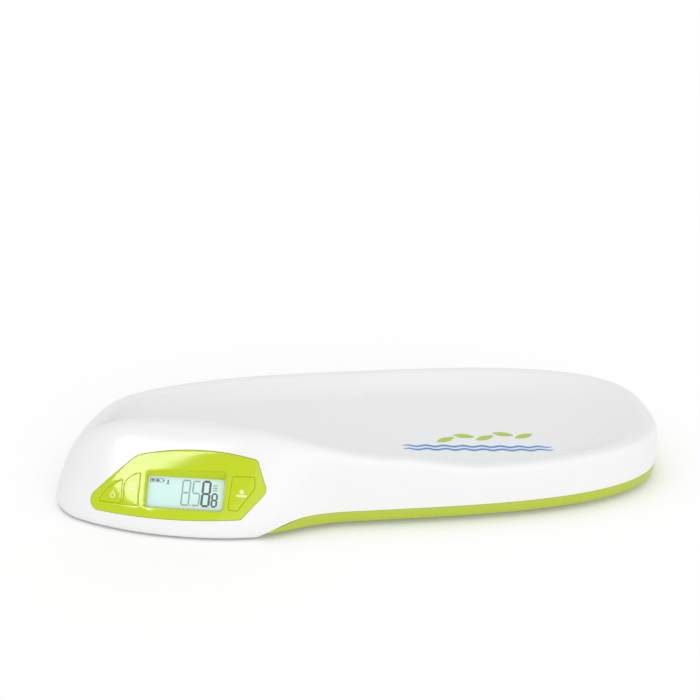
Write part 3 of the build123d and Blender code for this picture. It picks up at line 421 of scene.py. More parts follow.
def bowed(start, middle, end):
    """Side along the circle through three points, its centre from two equations for equal distances."""
    start, middle, end = (np.array(p, float) for p in (start, middle, end))
    system = 2 * np.array([middle - start, end - start])
    centre = np.linalg.solve(system, [middle @ middle - start @ start, end @ end - start @ start])
    angles = [math.atan2(*(p - centre)[::-1]) for p in (start, middle, end)]
    sweep = math.remainder(angles[1] - angles[0], math.tau) + math.remainder(angles[2] - angles[1], math.tau)
    return arc(centre, np.linalg.norm(start - centre), angles[0] + np.linspace(0, sweep, SIDE_POINTS))


def left_normals(points, closed):
    """Unit normals on the left of a polyline's run."""
    run = np.roll(points, -1, 0) - np.roll(points, 1, 0) if closed else np.gradient(points, axis=0)
    run = run / np.linalg.norm(run, axis=1, keepdims=True)
    return np.stack([-run[:, 1], run[:, 0]], -1)


def resampled(points, spacing):
    """Closed polyline at even steps along its length."""
    ring = np.vstack([points, points[:1]])
    travelled = np.append(0, np.cumsum(np.linalg.norm(np.diff(ring, axis=0), axis=1)))
    count = max(FEWEST_POINTS, int(travelled[-1] / spacing))
    steps = np.linspace(0, travelled[-1], count, endpoint=False)
    return np.stack([np.interp(steps, travelled, ring[:, k]) for k in range(2)], -1)


def rounded_outline(name, spacing):
    """Sides joined anticlockwise, each corner an arc whose centre lies one radius inside both sides."""
    rows = OUTLINES[name]
    sides = [bowed(start, bow, end) if bow else np.linspace(start, end, SIDE_POINTS)
             for (start, bow, _), (end, _, _) in zip(rows, rows[1:] + rows[:1])]
    runs, arcs = [[0, len(side) - 1] for side in sides], []
    for k, (_, _, radius) in enumerate(rows):
        after = (k + 1) % len(sides)
        near = sides[k] + radius * left_normals(sides[k], False)
        far = sides[after] + radius * left_normals(sides[after], False)
        gaps = np.linalg.norm(near[::COARSE_STEP, None] - far[None, ::COARSE_STEP], axis=2)
        i, j = (COARSE_STEP * n for n in np.unravel_index(np.argmin(gaps), gaps.shape))
        centre = (near[i] + far[j]) / 2
        begin = math.atan2(*(sides[k][i] - centre)[::-1])
        sweep = (math.atan2(*(sides[after][j] - centre)[::-1]) - begin) % math.tau
        arcs.append(arc(centre, radius, begin + np.linspace(0, sweep, ARC_POINTS)))
        runs[k][1], runs[after][0] = i, j
    ring = [part for side, (low, high), corner in zip(sides, runs, arcs) for part in (side[low:high], corner)]
    return resampled(np.vstack(ring), spacing)


def grown(outline, amount):
    """Anticlockwise outline moved outwards by amount."""
    return outline - amount * left_normals(outline, True)


def inside(points, outline):
    """Even-odd test of points against a closed outline."""
    x, y = points[:, None, 0], points[:, None, 1]
    start, end = outline, np.roll(outline, -1, 0)
    rises = (start[:, 1] > y) != (end[:, 1] > y)
    slope = np.where(end[:, 1] == start[:, 1], 1, end[:, 1] - start[:, 1])
    crossing = start[:, 0] + (y - start[:, 1]) * (end[:, 0] - start[:, 0]) / slope
    return (rises & (x < crossing)).sum(1) % 2 == 1


def rounded_rectangle(centre, size, radius, count=8, side_count=26):
    """Rectangle with quarter-circle corners, the same number of points whatever its size."""
    turn = np.linspace(0, math.pi / 2, count)
    corners = []
    for k, signs in enumerate(((1, 1), (-1, 1), (-1, -1), (1, -1))):
        middle = np.array(centre) + (np.array(size) / 2 - radius) * signs
        corners.append(arc(middle, radius, turn + k * math.pi / 2))
    ring = []
    for corner, after in zip(corners, corners[1:] + corners[:1]):
        ring += [corner, np.linspace(corner[-1], after[0], side_count)[1:-1]]
    return np.vstack(ring)


def circle(centre, radius, count=48):
    """Circle at even steps."""
    return arc(np.array(centre), radius, np.arange(count) / count * math.tau)


# ---- Flat outlines filled with triangles ----

ROW_PITCH, BORDER_CLEARANCE, WELD = 0.866, 0.55, 1e-7
TRIANGLES_INSIDE = 1
ROLL_POINTS = 6


def lattice(outline, spacing):
    """Staggered grid of points over an outline's box."""
    low, high = outline.min(0), outline.max(0)
    rows = np.arange(low[1], high[1], spacing * ROW_PITCH)
    columns = np.arange(low[0], high[0] + spacing, spacing)
    x, y = np.meshgrid(columns, rows)
    return np.stack([x + spacing / 2 * (np.arange(len(rows)) % 2)[:, None], y], -1).reshape(-1, 2)


def between(points, outline, holes):
    """Which points lie inside an outline and outside its holes."""
    kept = inside(points, outline)
    for hole in holes:
        kept &= ~inside(points, hole)
    return kept


def filled(outline, holes, spacing):
    """Triangles between an outline and its holes: flat points, faces, and each point's place in the loops."""
    loops = [outline, *holes]
    border = np.vstack(loops)
    points = lattice(outline, spacing)
    points = points[between(points, outline, holes)]
    clearance = np.linalg.norm(points[:, None] - border[None], axis=2).min(1)
    points = points[clearance > BORDER_CLEARANCE * spacing]
    edges, first = [], 0
    for loop in loops:
        index = np.arange(len(loop))
        edges += (np.stack([index, (index + 1) % len(loop)], -1) + first).tolist()
        first += len(loop)
    everything = [Vector(p) for p in np.vstack([border, points]).tolist()]
    corners, _, triangles, origins, *_ = delaunay_2d_cdt(everything, edges, [], TRIANGLES_INSIDE, WELD)
    flat, faces = np.array([tuple(p) for p in corners]), np.array(triangles)
    source = np.array([origin[0] if origin else -1 for origin in origins])
    return flat, faces[between(flat[faces].mean(1), outline, holes)].tolist(), source


def lifted(flat, rise=0.0):
    """Flat panel points on the housing's skin, raised by rise, in the frame's metres."""
    return from_panel(np.column_stack([flat, skin_depth(flat[:, 0], flat[:, 1]) + rise]))


def rolled_edge(outline, side, radius, depth=None):
    """Rows from the skin round a quarter-circle, then down a wall; side is 1 for a rim, -1 for a hole."""
    rows = [lifted(grown(outline, -side * radius * (1 - math.sin(t))), -radius * (1 - math.cos(t)))
            for t in np.linspace(0, math.pi / 2, ROLL_POINTS)]
    return rows if depth is None else rows + [lifted(outline, -depth)]


# ---- Finishes ----

METAL = {"Metallic": 1}
DULL = {"Specular IOR Level": 0.1}
GRAIN_INPUTS = {"Tone": 0.02, "Gloss": 0.3, "Gloss change": 0.05, "Grain scale": 1500, "Grain depth": 0.00001}
GRAIN_COLOUR = (0.8, 0.8, 0.8, 1)
CLOUD_SCALE, CLOUD_DETAIL, GRAIN_DETAIL, GRAIN_STRENGTH = 14, 3, 2, 0.6


def lacquer(weight, roughness):
    """Clear coat that mirrors softly over a ground without a gleam of its own."""
    return {"Coat Weight": weight, "Coat Roughness": roughness, "Coat IOR": 1.38, "Specular IOR Level": 0}


# Colour, or the setting that holds it; then the grain inputs, depth in millimetres; then shader values
FINISHES = {
    "white_shell": ("shell", 0.015, 0.27, 0.03, 1400, 0.003, {"Specular IOR Level": 0.3}),
    "green_base": ("base", 0.03, 0.36, 0.06, 1400, 0.012, {}),
    "green_panel": ("green", 0.02, 0.5, 0.05, 1800, 0.004, lacquer(1, 0.09)),
    "green_keys": ("green", 0.03, 0.5, 0.05, 1500, 0.006, lacquer(0.9, 0.08)),
    "switch_plunger": ((0.06, 0.06, 0.065), 0.1, 0.4, 0.1, 2500, 0.01, {}),
    "switch_body": ((0.02, 0.02, 0.022), 0.2, 0.45, 0.1, 2500, 0.01, {}),
    "clear_lens": ((0.72, 0.80, 0.80), 0.02, 0.05, 0.02, 900, 0.0005, {"Alpha": 0.03}),
    "lcd_glass": ((0.70, 0.84, 0.84), 0.02, 0.12, 0.03, 900, 0.001, {}),
    "diffuser": ((0.82, 0.85, 0.83), 0.02, 0.5, 0.08, 1200, 0.01, {}),
    "inner_plastic": ((0.62, 0.62, 0.60), 0.06, 0.45, 0.1, 1500, 0.015, {}),
    "pad_rubber": ((0.045, 0.047, 0.05), 0.25, 0.72, 0.12, 1800, 0.03, {}),
    "circuit_board": ((0.02, 0.16, 0.06), 0.3, 0.38, 0.12, 700, 0.02, {}),
    "chip_black": ((0.018, 0.018, 0.02), 0.3, 0.5, 0.15, 2200, 0.012, {}),
    "socket_white": ((0.74, 0.72, 0.66), 0.06, 0.4, 0.1, 1800, 0.012, {}),
    "screw_steel": ((0.52, 0.52, 0.54), 0.15, 0.3, 0.15, 1600, 0.008, METAL),
    "cell_steel": ((0.58, 0.58, 0.60), 0.12, 0.33, 0.16, 600, 0.01, METAL),
    "gauge_seal": ((0.78, 0.77, 0.72), 0.12, 0.42, 0.14, 900, 0.03, {}),
    "lead_cover": ((0.10, 0.10, 0.11), 0.2, 0.5, 0.12, 1500, 0.02, {}),
    "contact_nickel": ((0.66, 0.64, 0.60), 0.12, 0.24, 0.12, 1500, 0.006, METAL),
    "battery_jacket": ((0.10, 0.11, 0.13), 0.25, 0.3, 0.12, 1300, 0.008, {}),
    "display_ground": ("display", 0.015, 0.4, 0.04, 900, 0.002, DULL),
    # Pale rim of the display: a painted highlight, the glare along the lens's edge
    "display_painted_glare": ((0.88, 0.98, 0.88), 0.015, 0.4, 0.04, 900, 0.002, DULL),
    "segment_dark": ("segment", 0.1, 0.4, 0.05, 900, 0.001, {}),
    "segment_pale": ((0.26, 0.36, 0.36), 0.05, 0.45, 0.05, 900, 0.001, {}),
    "key_mark": ((0.80, 0.86, 0.42), 0.03, 0.4, 0.05, 1200, 0.002, {}),
    "print_blue": ((0.035, 0.17, 0.55), 0.06, 0.35, 0.05, 1400, 0.002, {}),
    "print_pale_blue": ((0.36, 0.62, 0.86), 0.03, 0.35, 0.05, 1400, 0.002, {}),
    "print_green": ((0.42, 0.56, 0.02), 0.06, 0.35, 0.05, 1400, 0.002, {}),
}


def feed(tree, node, inputs):
    """Fills a node's inputs, each with a value or from the socket that feeds it."""
    for name, value in inputs.items():
        if isinstance(value, bpy.types.NodeSocket):
            tree.links.new(value, node.inputs[name])
        else:
            node.inputs[name].default_value = value
    return node


def new_node(tree, kind, inputs, **settings):
    """Node with its settings and inputs."""
    node = tree.nodes.new(kind)
    for name, value in settings.items():
        setattr(node, name, value)
    return feed(tree, node, inputs)


def maths(tree, operation, *values):
    """Result of one operation on numbers or sockets."""
    return new_node(tree, "ShaderNodeMath", dict(enumerate(values)), operation=operation).outputs[0]


def grain_group():
    """Cloudy tone, cloudy gloss and fine spark-eroded grain, as a moulded or rolled surface has.

    A slow noise about its middle scales the colour by one plus tone times the noise, and adds gloss change
    times the noise to the gloss. A fine noise is the height of the grain.
    """
    tree = bpy.data.node_groups.new("Surface grain", "ShaderNodeTree")
    for label, default in {"Colour": GRAIN_COLOUR, **GRAIN_INPUTS}.items():
        kind = "NodeSocketColor" if label == "Colour" else "NodeSocketFloat"
        tree.interface.new_socket(name=label, in_out="INPUT", socket_type=kind).default_value = default
    for label, kind in (("Colour", "Color"), ("Roughness", "Float"), ("Normal", "Vector")):
        tree.interface.new_socket(name=label, in_out="OUTPUT", socket_type=f"NodeSocket{kind}")
    given = tree.nodes.new("NodeGroupInput").outputs
    place = tree.nodes.new("ShaderNodeTexCoord").outputs["Object"]
    slow = {"Scale": CLOUD_SCALE, "Detail": CLOUD_DETAIL, "Vector": place}
    cloud = new_node(tree, "ShaderNodeTexNoise", slow).outputs["Fac"]
    centred = maths(tree, "SUBTRACT", cloud, 0.5)
    toned = maths(tree, "MULTIPLY_ADD", centred, given["Tone"], 1)
    glossed = maths(tree, "MULTIPLY_ADD", centred, given["Gloss change"], given["Gloss"])
    tinted = new_node(tree, "ShaderNodeVectorMath", {0: given["Colour"], "Scale": toned}, operation="SCALE")
    fine = {"Scale": given["Grain scale"], "Detail": GRAIN_DETAIL, "Vector": place}
    grain = new_node(tree, "ShaderNodeTexNoise", fine).outputs["Fac"]
    bump = new_node(tree, "ShaderNodeBump",
                    {"Strength": GRAIN_STRENGTH, "Height": grain, "Distance": given["Grain depth"]})
    new_node(tree, "NodeGroupOutput",
             {"Colour": tinted.outputs[0], "Roughness": glossed, "Normal": bump.outputs["Normal"]})
    return tree


def new_material(name):
    """Material with its tree and its shader."""
    material = bpy.data.materials.new(name)
    material.use_nodes = True
    return material, material.node_tree, material.node_tree.nodes["Principled BSDF"]


def finish_of(slot):
    """Finish of a slot, made when first asked for: colour, gloss and grain come from the grain group."""
    name = f"{slot}_finish"
    if name in bpy.data.materials:
        return bpy.data.materials[name]
    tint, *values, shader_values = FINISHES[slot]
    if isinstance(tint, str):
        tint = getattr(bpy.context.scene.scale_finishes, tint)
    values[-1] *= MM
    material, tree, shader = new_material(name)
    group = bpy.data.node_groups.get("Surface grain") or grain_group()
    inputs = {"Colour": (*tint, 1), **dict(zip(GRAIN_INPUTS, values))}
    grain = new_node(tree, "ShaderNodeGroup", inputs, node_tree=group).outputs
    feed(tree, shader, {"Base Color": grain["Colour"], "Roughness": grain["Roughness"],
                        "Normal": grain["Normal"], **shader_values})
    return material


class ScaleOperator(bpy.types.Operator):
    """Shared by the operators that build the scale."""

    bl_options = {"REGISTER", "UNDO"}


class BABYSCALE_OT_inner_finishes(ScaleOperator):
    """Finishes of the feet, load cells, board, battery bay and the other parts that keep their own form"""

    bl_idname = "babyscale.inner_finishes"
    bl_label = "Inner finishes"

    def execute(self, context):
        slot_of = {row["node"]: row["material_slot"] for row in frame["record"]["subparts"]}
        for name, node in frame["nodes"].items():
            node.data.materials.clear()
            node.data.materials.append(finish_of(slot_of[name]))
        return {"FINISHED"}


# ---- Tray and base ----

# v at the top of the wall and inside the rim, rows of points between them, and rows that close the bed
WALL_TOP, RIM_INSIDE = 5.0, 9.0
WALL_ROW_COUNT, RIM_ROW_COUNT, BED_ROW_COUNT, CAP_ROW_COUNT = 22, 32, 26, 12
TRAY_COLUMNS, EVENING_POWER = 384, 1.45

# Where the console lies on the skin, and the patch that carries its opening
CONSOLE_BELOW, CONSOLE_ANGLES = 9.3, (180, 300)
PANEL_SEAM, PATCH_MARGIN, PATCH_SPACING = 0.1, 3.0, 3.0


def tray_grid():
    """Skin at (angle, v): columns even along the superellipse, rows from the joint line to the bed."""
    t = np.arange(TRAY_COLUMNS) / TRAY_COLUMNS * math.tau
    s, c = signed_power(np.sin(t), EVENING_POWER), signed_power(np.cos(t), EVENING_POWER)
    angle = np.degrees(np.arctan2(s, c)) % 360
    start = joint_parameter(angle)
    wall_rows = start + (WALL_TOP - start) * np.linspace(0, 1, WALL_ROW_COUNT)[:, None]
    upper_rows = np.concatenate([np.linspace(WALL_TOP, RIM_INSIDE, RIM_ROW_COUNT)[1:],
                                 np.linspace(RIM_INSIDE, SPANS, BED_ROW_COUNT)[1:]])
    v = np.vstack([wall_rows, np.repeat(upper_rows[:, None], TRAY_COLUMNS, 1)])
    angle = np.broadcast_to(angle, v.shape)
    points = skin(angle, v)
    centre = points[-1].mean(0)
    cap = centre + (points[-1] - centre) * np.linspace(1, 0, CAP_ROW_COUNT)[1:, None, None]
    return np.concatenate([points, cap]).reshape(-1, 3), angle.ravel(), v.ravel()


def ordered_loop(faces):
    """Vertices of the border of a patch of faces, in the order its faces run."""
    ring = np.concatenate([np.stack([faces[:, k], faces[:, (k + 1) % 4]], -1) for k in range(4)])
    present = {tuple(edge) for edge in ring.tolist()}
    after = {a: b for a, b in present if (b, a) not in present}
    loop = [next(iter(after))]
    while after[loop[-1]] != loop[0]:
        loop.append(after[loop[-1]])
    return np.array(loop)


class BABYSCALE_OT_tray(ScaleOperator):
    """Tray and hood: the skin from the joint line over the rim to the bed, open where the panel sits"""

    bl_idname = "babyscale.tray"
    bl_label = "Tray"

    def execute(self, context):
        points, angle, v = tray_grid()
        faces = np.array(grid_faces(len(points) // TRAY_COLUMNS, TRAY_COLUMNS))
        on_plane = to_panel(points)
        outline = rounded_outline("panel", PANEL_STEP)
        low, high = CONSOLE_ANGLES
        chosen = np.flatnonzero((v < CONSOLE_BELOW) & (angle > low) & (angle < high))
        near = np.zeros(len(points), bool)
        near[chosen] = inside(on_plane[chosen, :2], grown(outline, PATCH_MARGIN))
        cut = near[faces].any(1)
        loop = ordered_loop(faces[cut])
        flat, patch, source = filled(on_plane[loop, :2], [grown(outline, PANEL_SEAM)], PATCH_SPACING)
        raised = lifted(flat)
        border = (source >= 0) & (source < len(loop))
        raised[border] = points[loop[source[border]]]
        surface = Surface().add(points, faces[~cut].tolist()).add(raised, patch)
        tray = new_piece("tray", surface, "white_shell", sharp=TRAY_SHARP)
        thicken(tray, context.scene.housing_form.wall)
        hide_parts("top_shell")
        return {"FINISHED"}


class BABYSCALE_OT_base(ScaleOperator):
    """Base with its wells, pillars, clips and battery bay"""

    bl_idname = "babyscale.base"
    bl_label = "Base"

    def execute(self, context):
        copy_of_node("base_shell", "green_base")
        return {"FINISHED"}


# ---- Console ----

DISPLAY_CENTRE, DISPLAY_SIZE, DISPLAY_DEPTH = np.array([-1.6, 0.9]), np.array([71.6, 28.7]), 6.0
WELL_CENTRE, WELL_SIZE = (-1.0, 2.6), (75.0, 36.0)
WELL_CORNER, DISPLAY_CORNER, WELL_ROWS, WELL_PASSES = 3.2, 1.2, 8, 6
PANEL_EDGE, PANEL_ROLL, PANEL_WALL, PANEL_SPACING = 0.2, 0.7, 2.4, 2.2
KEY_GAP, KEY_ROLL, KEY_WALL, KEY_SPACING = 0.22, 0.35, 3.0, 1.6
MARK_LIFT, MARK_SPACING, MARK_ARC = 0.03, 0.6, 4

# Marks on the keys. Discs: centre, radius, radius of the hole. Plates: centre, size, corner radius.
KEY_DISCS = {"left": [((-70.4, -4.6), 2.6, 1.7)], "middle": [], "right": [((52.3, 4.3), 2.1, None)]}
KEY_PLATES = {"left": [((-70.4, -1.6), (1.1, 3.4), 0.3)],
              "middle": [((-51.6, 5.9), (5.8, 2.0), 0.6), ((-51.6, 1.7), (5.8, 2.0), 0.6)],
              "right": [((52.3, 0.6), (9.6, 2.0), 0.7)]}


def well_mouth():
    """Where the tapered well meets the skin, by repeated substitution of each point's share, and its foot."""
    flat = rounded_rectangle(WELL_CENTRE, WELL_SIZE, WELL_CORNER)
    low = rounded_rectangle(DISPLAY_CENTRE, DISPLAY_SIZE, DISPLAY_CORNER)
    here = flat
    for _ in range(WELL_PASSES):
        depth = skin_depth(here[:, 0], here[:, 1])
        here = low + (flat - low) * ((depth + DISPLAY_DEPTH) / DISPLAY_DEPTH)[:, None]
    return here, low


def key_marks(name):
    """Plain signs, each an outline and its holes: a ring with a bar, two short bars, a disc over a plate."""
    discs = [(circle(centre, radius), [circle(centre, hole)] if hole else [])
             for centre, radius, hole in KEY_DISCS[name]]
    return discs + [(rounded_rectangle(*plate, MARK_ARC), []) for plate in KEY_PLATES[name]]


class BABYSCALE_OT_panel(ScaleOperator):
    """Console panel: a filled outline lifted onto the skin, with rolled edges, key openings and the well"""

    bl_idname = "babyscale.panel"
    bl_label = "Console panel"

    def execute(self, context):
        rim = grown(rounded_outline("panel", PANEL_STEP), -PANEL_EDGE)
        holes = [rounded_outline(name, KEY_STEP) for name in KEYS]
        mouth, low = well_mouth()
        inner = [grown(hole, KEY_ROLL) for hole in holes] + [grown(mouth, PANEL_ROLL)]
        flat, patch, _ = filled(grown(rim, -PANEL_ROLL), inner, PANEL_SPACING)
        surface = Surface().add(lifted(flat), patch)
        surface.add_rows(rolled_edge(rim, 1, PANEL_ROLL, PANEL_WALL)[::-1])
        for hole in holes:
            surface.add_rows(rolled_edge(hole, -1, KEY_ROLL, PANEL_WALL))
        lip = rolled_edge(mouth, -1, PANEL_ROLL)
        floor = at_height(low, -DISPLAY_DEPTH)
        surface.add_rows(lip + [lip[-1] + (floor - lip[-1]) * t for t in np.linspace(0, 1, WELL_ROWS)[1:]])
        panel = new_piece("console_panel", surface, "green_panel", sharp=CONSOLE_SHARP)
        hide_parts("console_bezel")
        return {"FINISHED"}


class BABYSCALE_OT_keys(ScaleOperator):
    """Three key caps, each a filled outline on the skin with a rolled rim, and a plain mark on each"""

    bl_idname = "babyscale.keys"
    bl_label = "Keys"

    def execute(self, context):
        for name in KEYS:
            rim = grown(rounded_outline(name, KEY_STEP), -KEY_GAP)
            flat, patch, _ = filled(grown(rim, -KEY_ROLL), [], KEY_SPACING)
            surface = Surface().add(lifted(flat), patch)
            surface.add_rows(rolled_edge(rim, 1, KEY_ROLL, KEY_WALL)[::-1])
            body = f"{name}_button"
            cap = new_piece(f"{name}_key_cap", surface, "green_keys", body, sharp=CONSOLE_SHARP)
            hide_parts(f"button_{name}")
            marks = Surface()
            for outline, holes in key_marks(name):
                flat, patch, _ = filled(outline, holes, MARK_SPACING)
                marks.add(lifted(flat, MARK_LIFT), patch)
            new_piece(f"{name}_key_mark", marks, "key_mark", body)
        return {"FINISHED"}


# ---- Display, measured from its lower left corner ----

SEAT_GAP, LENS, STACK_GAP = 0.1, 1.2, 0.3
GLASS_TOP = -DISPLAY_DEPTH - SEAT_GAP - LENS - STACK_GAP
# Heights over the glass; the pale rim is a painted highlight of the lens's edge
GROUND_LIFT, PALE_LIFT, DARK_LIFT, GLARE_LIFT = 0.04, 0.07, 0.09, 0.12
GROUND_MARGIN, GROUND_CORNER, GLARE_SPACING = 1.0, 0.8, 3.0
WINDOW_SHIFT, WINDOW_LESS = (0.3, 0), (2.4, 1.6)

# Ends of each bar between a digit's six nodes, and the bars of each digit
SEGMENT_ENDS = {"a": ((0, 2), (1, 2)), "b": ((1, 1), (1, 2)), "c": ((1, 0), (1, 1)), "d": ((0, 0), (1, 0)),
                "e": ((0, 0), (0, 1)), "f": ((0, 1), (0, 2)), "g": ((0, 1), (1, 1))}
SEGMENTS = {"8": "abcdefg", "5": "acdfg"}
SLANT, SEGMENT_GAP = 0.02, 0.12

# Digits: digit, left, low, width, height, stroke. Marks: centre, size, corner radius.
PALE_DIGITS = (("8", 31.6, 2.9, 8.4, 24.0, 1.4), ("5", 41.6, 3.0, 8.0, 23.6, 1.4))
DARK_DIGITS = (("8", 50.4, 2.6, 8.8, 24.6, 2.1), ("8", 60.0, 2.7, 6.2, 13.4, 1.7))
PALE_MARKS = [((40.9, 3.6), (1.3, 1.3), 0.5)] + [((63.4, y), (4.4, 1.2), 0.3) for y in (18.4, 20.6, 22.8)]

# Charge sign: a frame of four bars, two cells and a knob, with a pointer beside it
DARK_MARKS = [(centre, size, 0.2) for centre, size in (
    ((7.6, 23.4), (12.0, 0.5)), ((7.6, 26.6), (12.0, 0.5)),
    ((1.6, 25.0), (0.5, 3.2)), ((13.6, 25.0), (0.5, 3.2)),
    ((4.2, 25.0), (3.4, 1.7)), ((8.6, 25.0), (3.4, 1.7)), ((14.4, 25.0), (0.8, 1.6)),
    ((18.4, 24.4), (1.2, 3.0)), ((18.4, 22.2), (2.6, 0.9)))]


def segment_outlines(digit, left, low, wide, high, stroke):
    """Slanted bars of a seven-segment digit: six-sided outlines between the digit's six nodes."""
    bars = []
    for letter in SEGMENTS[digit]:
        start, end = (np.array([stroke / 2 + x * (wide - stroke), stroke / 2 + y * (high - stroke) / 2])
                      for x, y in SEGMENT_ENDS[letter])
        run = (end - start) / np.linalg.norm(end - start)
        side = np.array([-run[1], run[0]]) * stroke / 2
        inset = run * (stroke / 2 + SEGMENT_GAP)
        tip = run * SEGMENT_GAP
        bar = np.array([start + tip, start + inset - side, end - inset - side,
                        end - tip, end - inset + side, start + inset + side])
        bar[:, 0] += SLANT * bar[:, 1]
        bars.append(bar + (left, low))
    return bars


def signs(digits, marks):
    """Outlines of all the bars of some digits, and of some marks."""
    bars = [bar for digit in digits for bar in segment_outlines(*digit)]
    return bars + [rounded_rectangle(*mark, MARK_ARC) for mark in marks]


def on_display(points):
    """From the display's lower left corner to the panel plane."""
    return points + DISPLAY_CENTRE - DISPLAY_SIZE / 2


def flat_piece(name, outlines, lift, finish):
    """Flat shapes over the display's glass at one height, each a fan round its own middle."""
    surface = Surface()
    for outline in outlines:
        count = len(outline)
        index = np.arange(count)
        spot = on_display(outline)
        fan = np.stack([index, (index + 1) % count, np.full(count, count)], -1).tolist()
        surface.add(at_height(np.vstack([spot, spot.mean(0)]), GLASS_TOP + lift), fan)
    new_piece(name, surface, finish)


class BABYSCALE_OT_display(ScaleOperator):
    """Display ground with a pale rim that paints the glare along the lens's edge, its dark and pale segments,
    under the clear lens
    """

    bl_idname = "babyscale.display"
    bl_label = "Display"

    def execute(self, context):
        ground = rounded_rectangle(DISPLAY_SIZE / 2, DISPLAY_SIZE + GROUND_MARGIN, GROUND_CORNER)
        window_size = DISPLAY_SIZE - WINDOW_LESS
        opening = rounded_rectangle(DISPLAY_SIZE / 2 - WINDOW_SHIFT, window_size, GROUND_CORNER)
        flat_piece("display_ground", [ground], GROUND_LIFT, "display_ground")
        # Pale rim between the ground and the window: painted glare along the lens's edge
        flat, patch, _ = filled(on_display(ground), [on_display(opening)], GLARE_SPACING)
        rim = Surface().add(at_height(flat, GLASS_TOP + GLARE_LIFT), patch)
        new_piece("display_painted_glare", rim, "display_painted_glare")
        flat_piece("display_pale_segments", signs(PALE_DIGITS, PALE_MARKS), PALE_LIFT, "segment_pale")
        flat_piece("display_dark_segments", signs(DARK_DIGITS, DARK_MARKS), DARK_LIFT, "segment_dark")
        return {"FINISHED"}


# ---- Print on the bed, in millimetres from the outline's own middle ----

PRINT_START, PRINT_END = np.array([21.0, -37.5]), np.array([168.0, -59.0])
LINE_SHIFTS, LINE_WIDTH, EDGE_WIDTH = ((0, 0), (0, 8)), 3.0, 5.6
LINE_SWING, LINE_WAVES, LINE_POINTS, TAPER_POWER = 3.0, 8, 160, 8
LEAVES = (((66, -20), 0.5), ((86, -13), -0.35), ((106, -20), 0.45), ((126, -13), -0.4), ((146, -20), 0.4))
LEAF_LENGTH, LEAF_WIDTH, LEAF_POWER, LEAF_POINTS, LEAF_SPACING = 22.0, 10.0, 0.8, 24, 3.0
EDGE_LIFT, LEAF_LIFT, LINE_LIFT = 0.06, 0.08, 0.10
DROP_FROM = 0.2


def wavy_ribbon(start, end, width):
    """Flat ribbon whose middle line is a sine of the run, its width tapered to a point at both ends."""
    t, side = np.meshgrid(np.linspace(0, 1, LINE_POINTS), [-0.5, 0.5])
    run = (end - start) / np.linalg.norm(end - start)
    across = np.array([-run[1], run[0]])
    taper = np.sqrt(np.clip(1 - (2 * t - 1) ** TAPER_POWER, 0, 1))
    middle = LINE_SWING * np.sin(LINE_WAVES * math.tau * t) * 0.5
    place = start + (end - start) * t[..., None] + across * (middle + side * width * taper)[..., None]
    return place.reshape(-1, 2), grid_faces(2, LINE_POINTS, False)


def leaf_outline(centre, turn):
    """Leaf: half its width is a power of the sine of the run, pointed at both ends, then turned."""
    t = np.linspace(0, 1, LEAF_POINTS)
    half = 0.5 * LEAF_WIDTH * np.sin(math.pi * t) ** LEAF_POWER
    along = (t - 0.5) * LEAF_LENGTH
    ring = np.vstack([np.stack([along, -half], -1), np.stack([along, half], -1)[::-1][1:-1]])
    c, s = math.cos(turn), math.sin(turn)
    return ring @ np.array([[c, s], [-s, c]]) + centre


def drape(skin_tree, flat, lift):
    """Flat points dropped along Z onto the tray's skin and lifted by a little, in the frame's metres."""
    draped = []
    for x, y in (flat - np.array(bpy.context.scene["outline_middle"])[:2]) * MM:
        hit, _, _, _ = skin_tree.ray_cast(Vector((x, y, DROP_FROM)), Vector((0, 0, -1)))
        draped.append((x, y, hit.z + lift * MM))
    return np.array(draped)


class BABYSCALE_OT_bed_print(ScaleOperator):
    """Printed motif on the bed: two wavy blue lines with a pale edge under a sprig of green leaves"""

    bl_idname = "babyscale.bed_print"
    bl_label = "Bed print"

    def execute(self, context):
        tray = bpy.data.objects["tray"].data
        polygons = [list(polygon.vertices) for polygon in tray.polygons]
        skin_tree = BVHTree.FromPolygons([vertex.co for vertex in tray.vertices], polygons)
        lines = [(PRINT_START + shift, PRINT_END + shift) for shift in LINE_SHIFTS]
        leaves = [filled(leaf_outline(*leaf), [], LEAF_SPACING)[:2] for leaf in LEAVES]
        edges, cores = ([wavy_ribbon(*line, width) for line in lines] for width in (EDGE_WIDTH, LINE_WIDTH))
        for name, sheets, lift, finish in (("bed_print_edge", edges, EDGE_LIFT, "print_pale_blue"),
                                           ("bed_print_lines", cores, LINE_LIFT, "print_blue"),
                                           ("bed_print_leaves", leaves, LEAF_LIFT, "print_green")):
            surface = Surface()
            for flat, faces in sheets:
                surface.add(drape(skin_tree, flat, lift), faces)
            new_piece(name, surface, finish)
        return {"FINISHED"}


# ---- Stage ----

FLOOR_REACH, FLOOR_WHITE, FLOOR_CHANGE, FLOOR_BOOST = 15.0, 0.97, 0.01, 0.105
FLOOR_CLOUD, FLOOR_ROUGHNESS, FLOOR_GLEAM = 1.5, 0.9, 0.1
SOFTBOX_PLACE, SOFTBOX_TARGET = Vector((-1.345, -0.958, 1.124)), Vector((-0.176, -0.12, 0.04))
SOFTBOX_SIZE = 0.53, 0.72
SUN_DIRECTION, SUN_ANGLE = Vector((-0.12, 0.94, -0.29)), math.radians(50)
CAMERA_PLACE, CAMERA_DIRECTION = Vector((-168.5, -1374.9, 632.9)), Vector((0.1077, 0.9335, -0.3420))
SENSOR_WIDTH, CLIP_END = 36, 100
WHITE = (1, 1, 1, 1)


def aimed(name, data, direction):
    """Lamp or camera that looks along a direction."""
    made = new_object(name, data)
    made.rotation_euler = direction.to_track_quat("-Z", "Y").to_euler()
    return made


def seen_directly(tree):
    """1 for camera, transmission and glossy rays, and 0 for light that surfaces scatter."""
    rays = tree.nodes.new("ShaderNodeLightPath").outputs
    seen = rays["Is Camera Ray"]
    for label in ("Is Transmission Ray", "Is Glossy Ray"):
        seen = maths(tree, "MAXIMUM", seen, rays[label])
    return seen


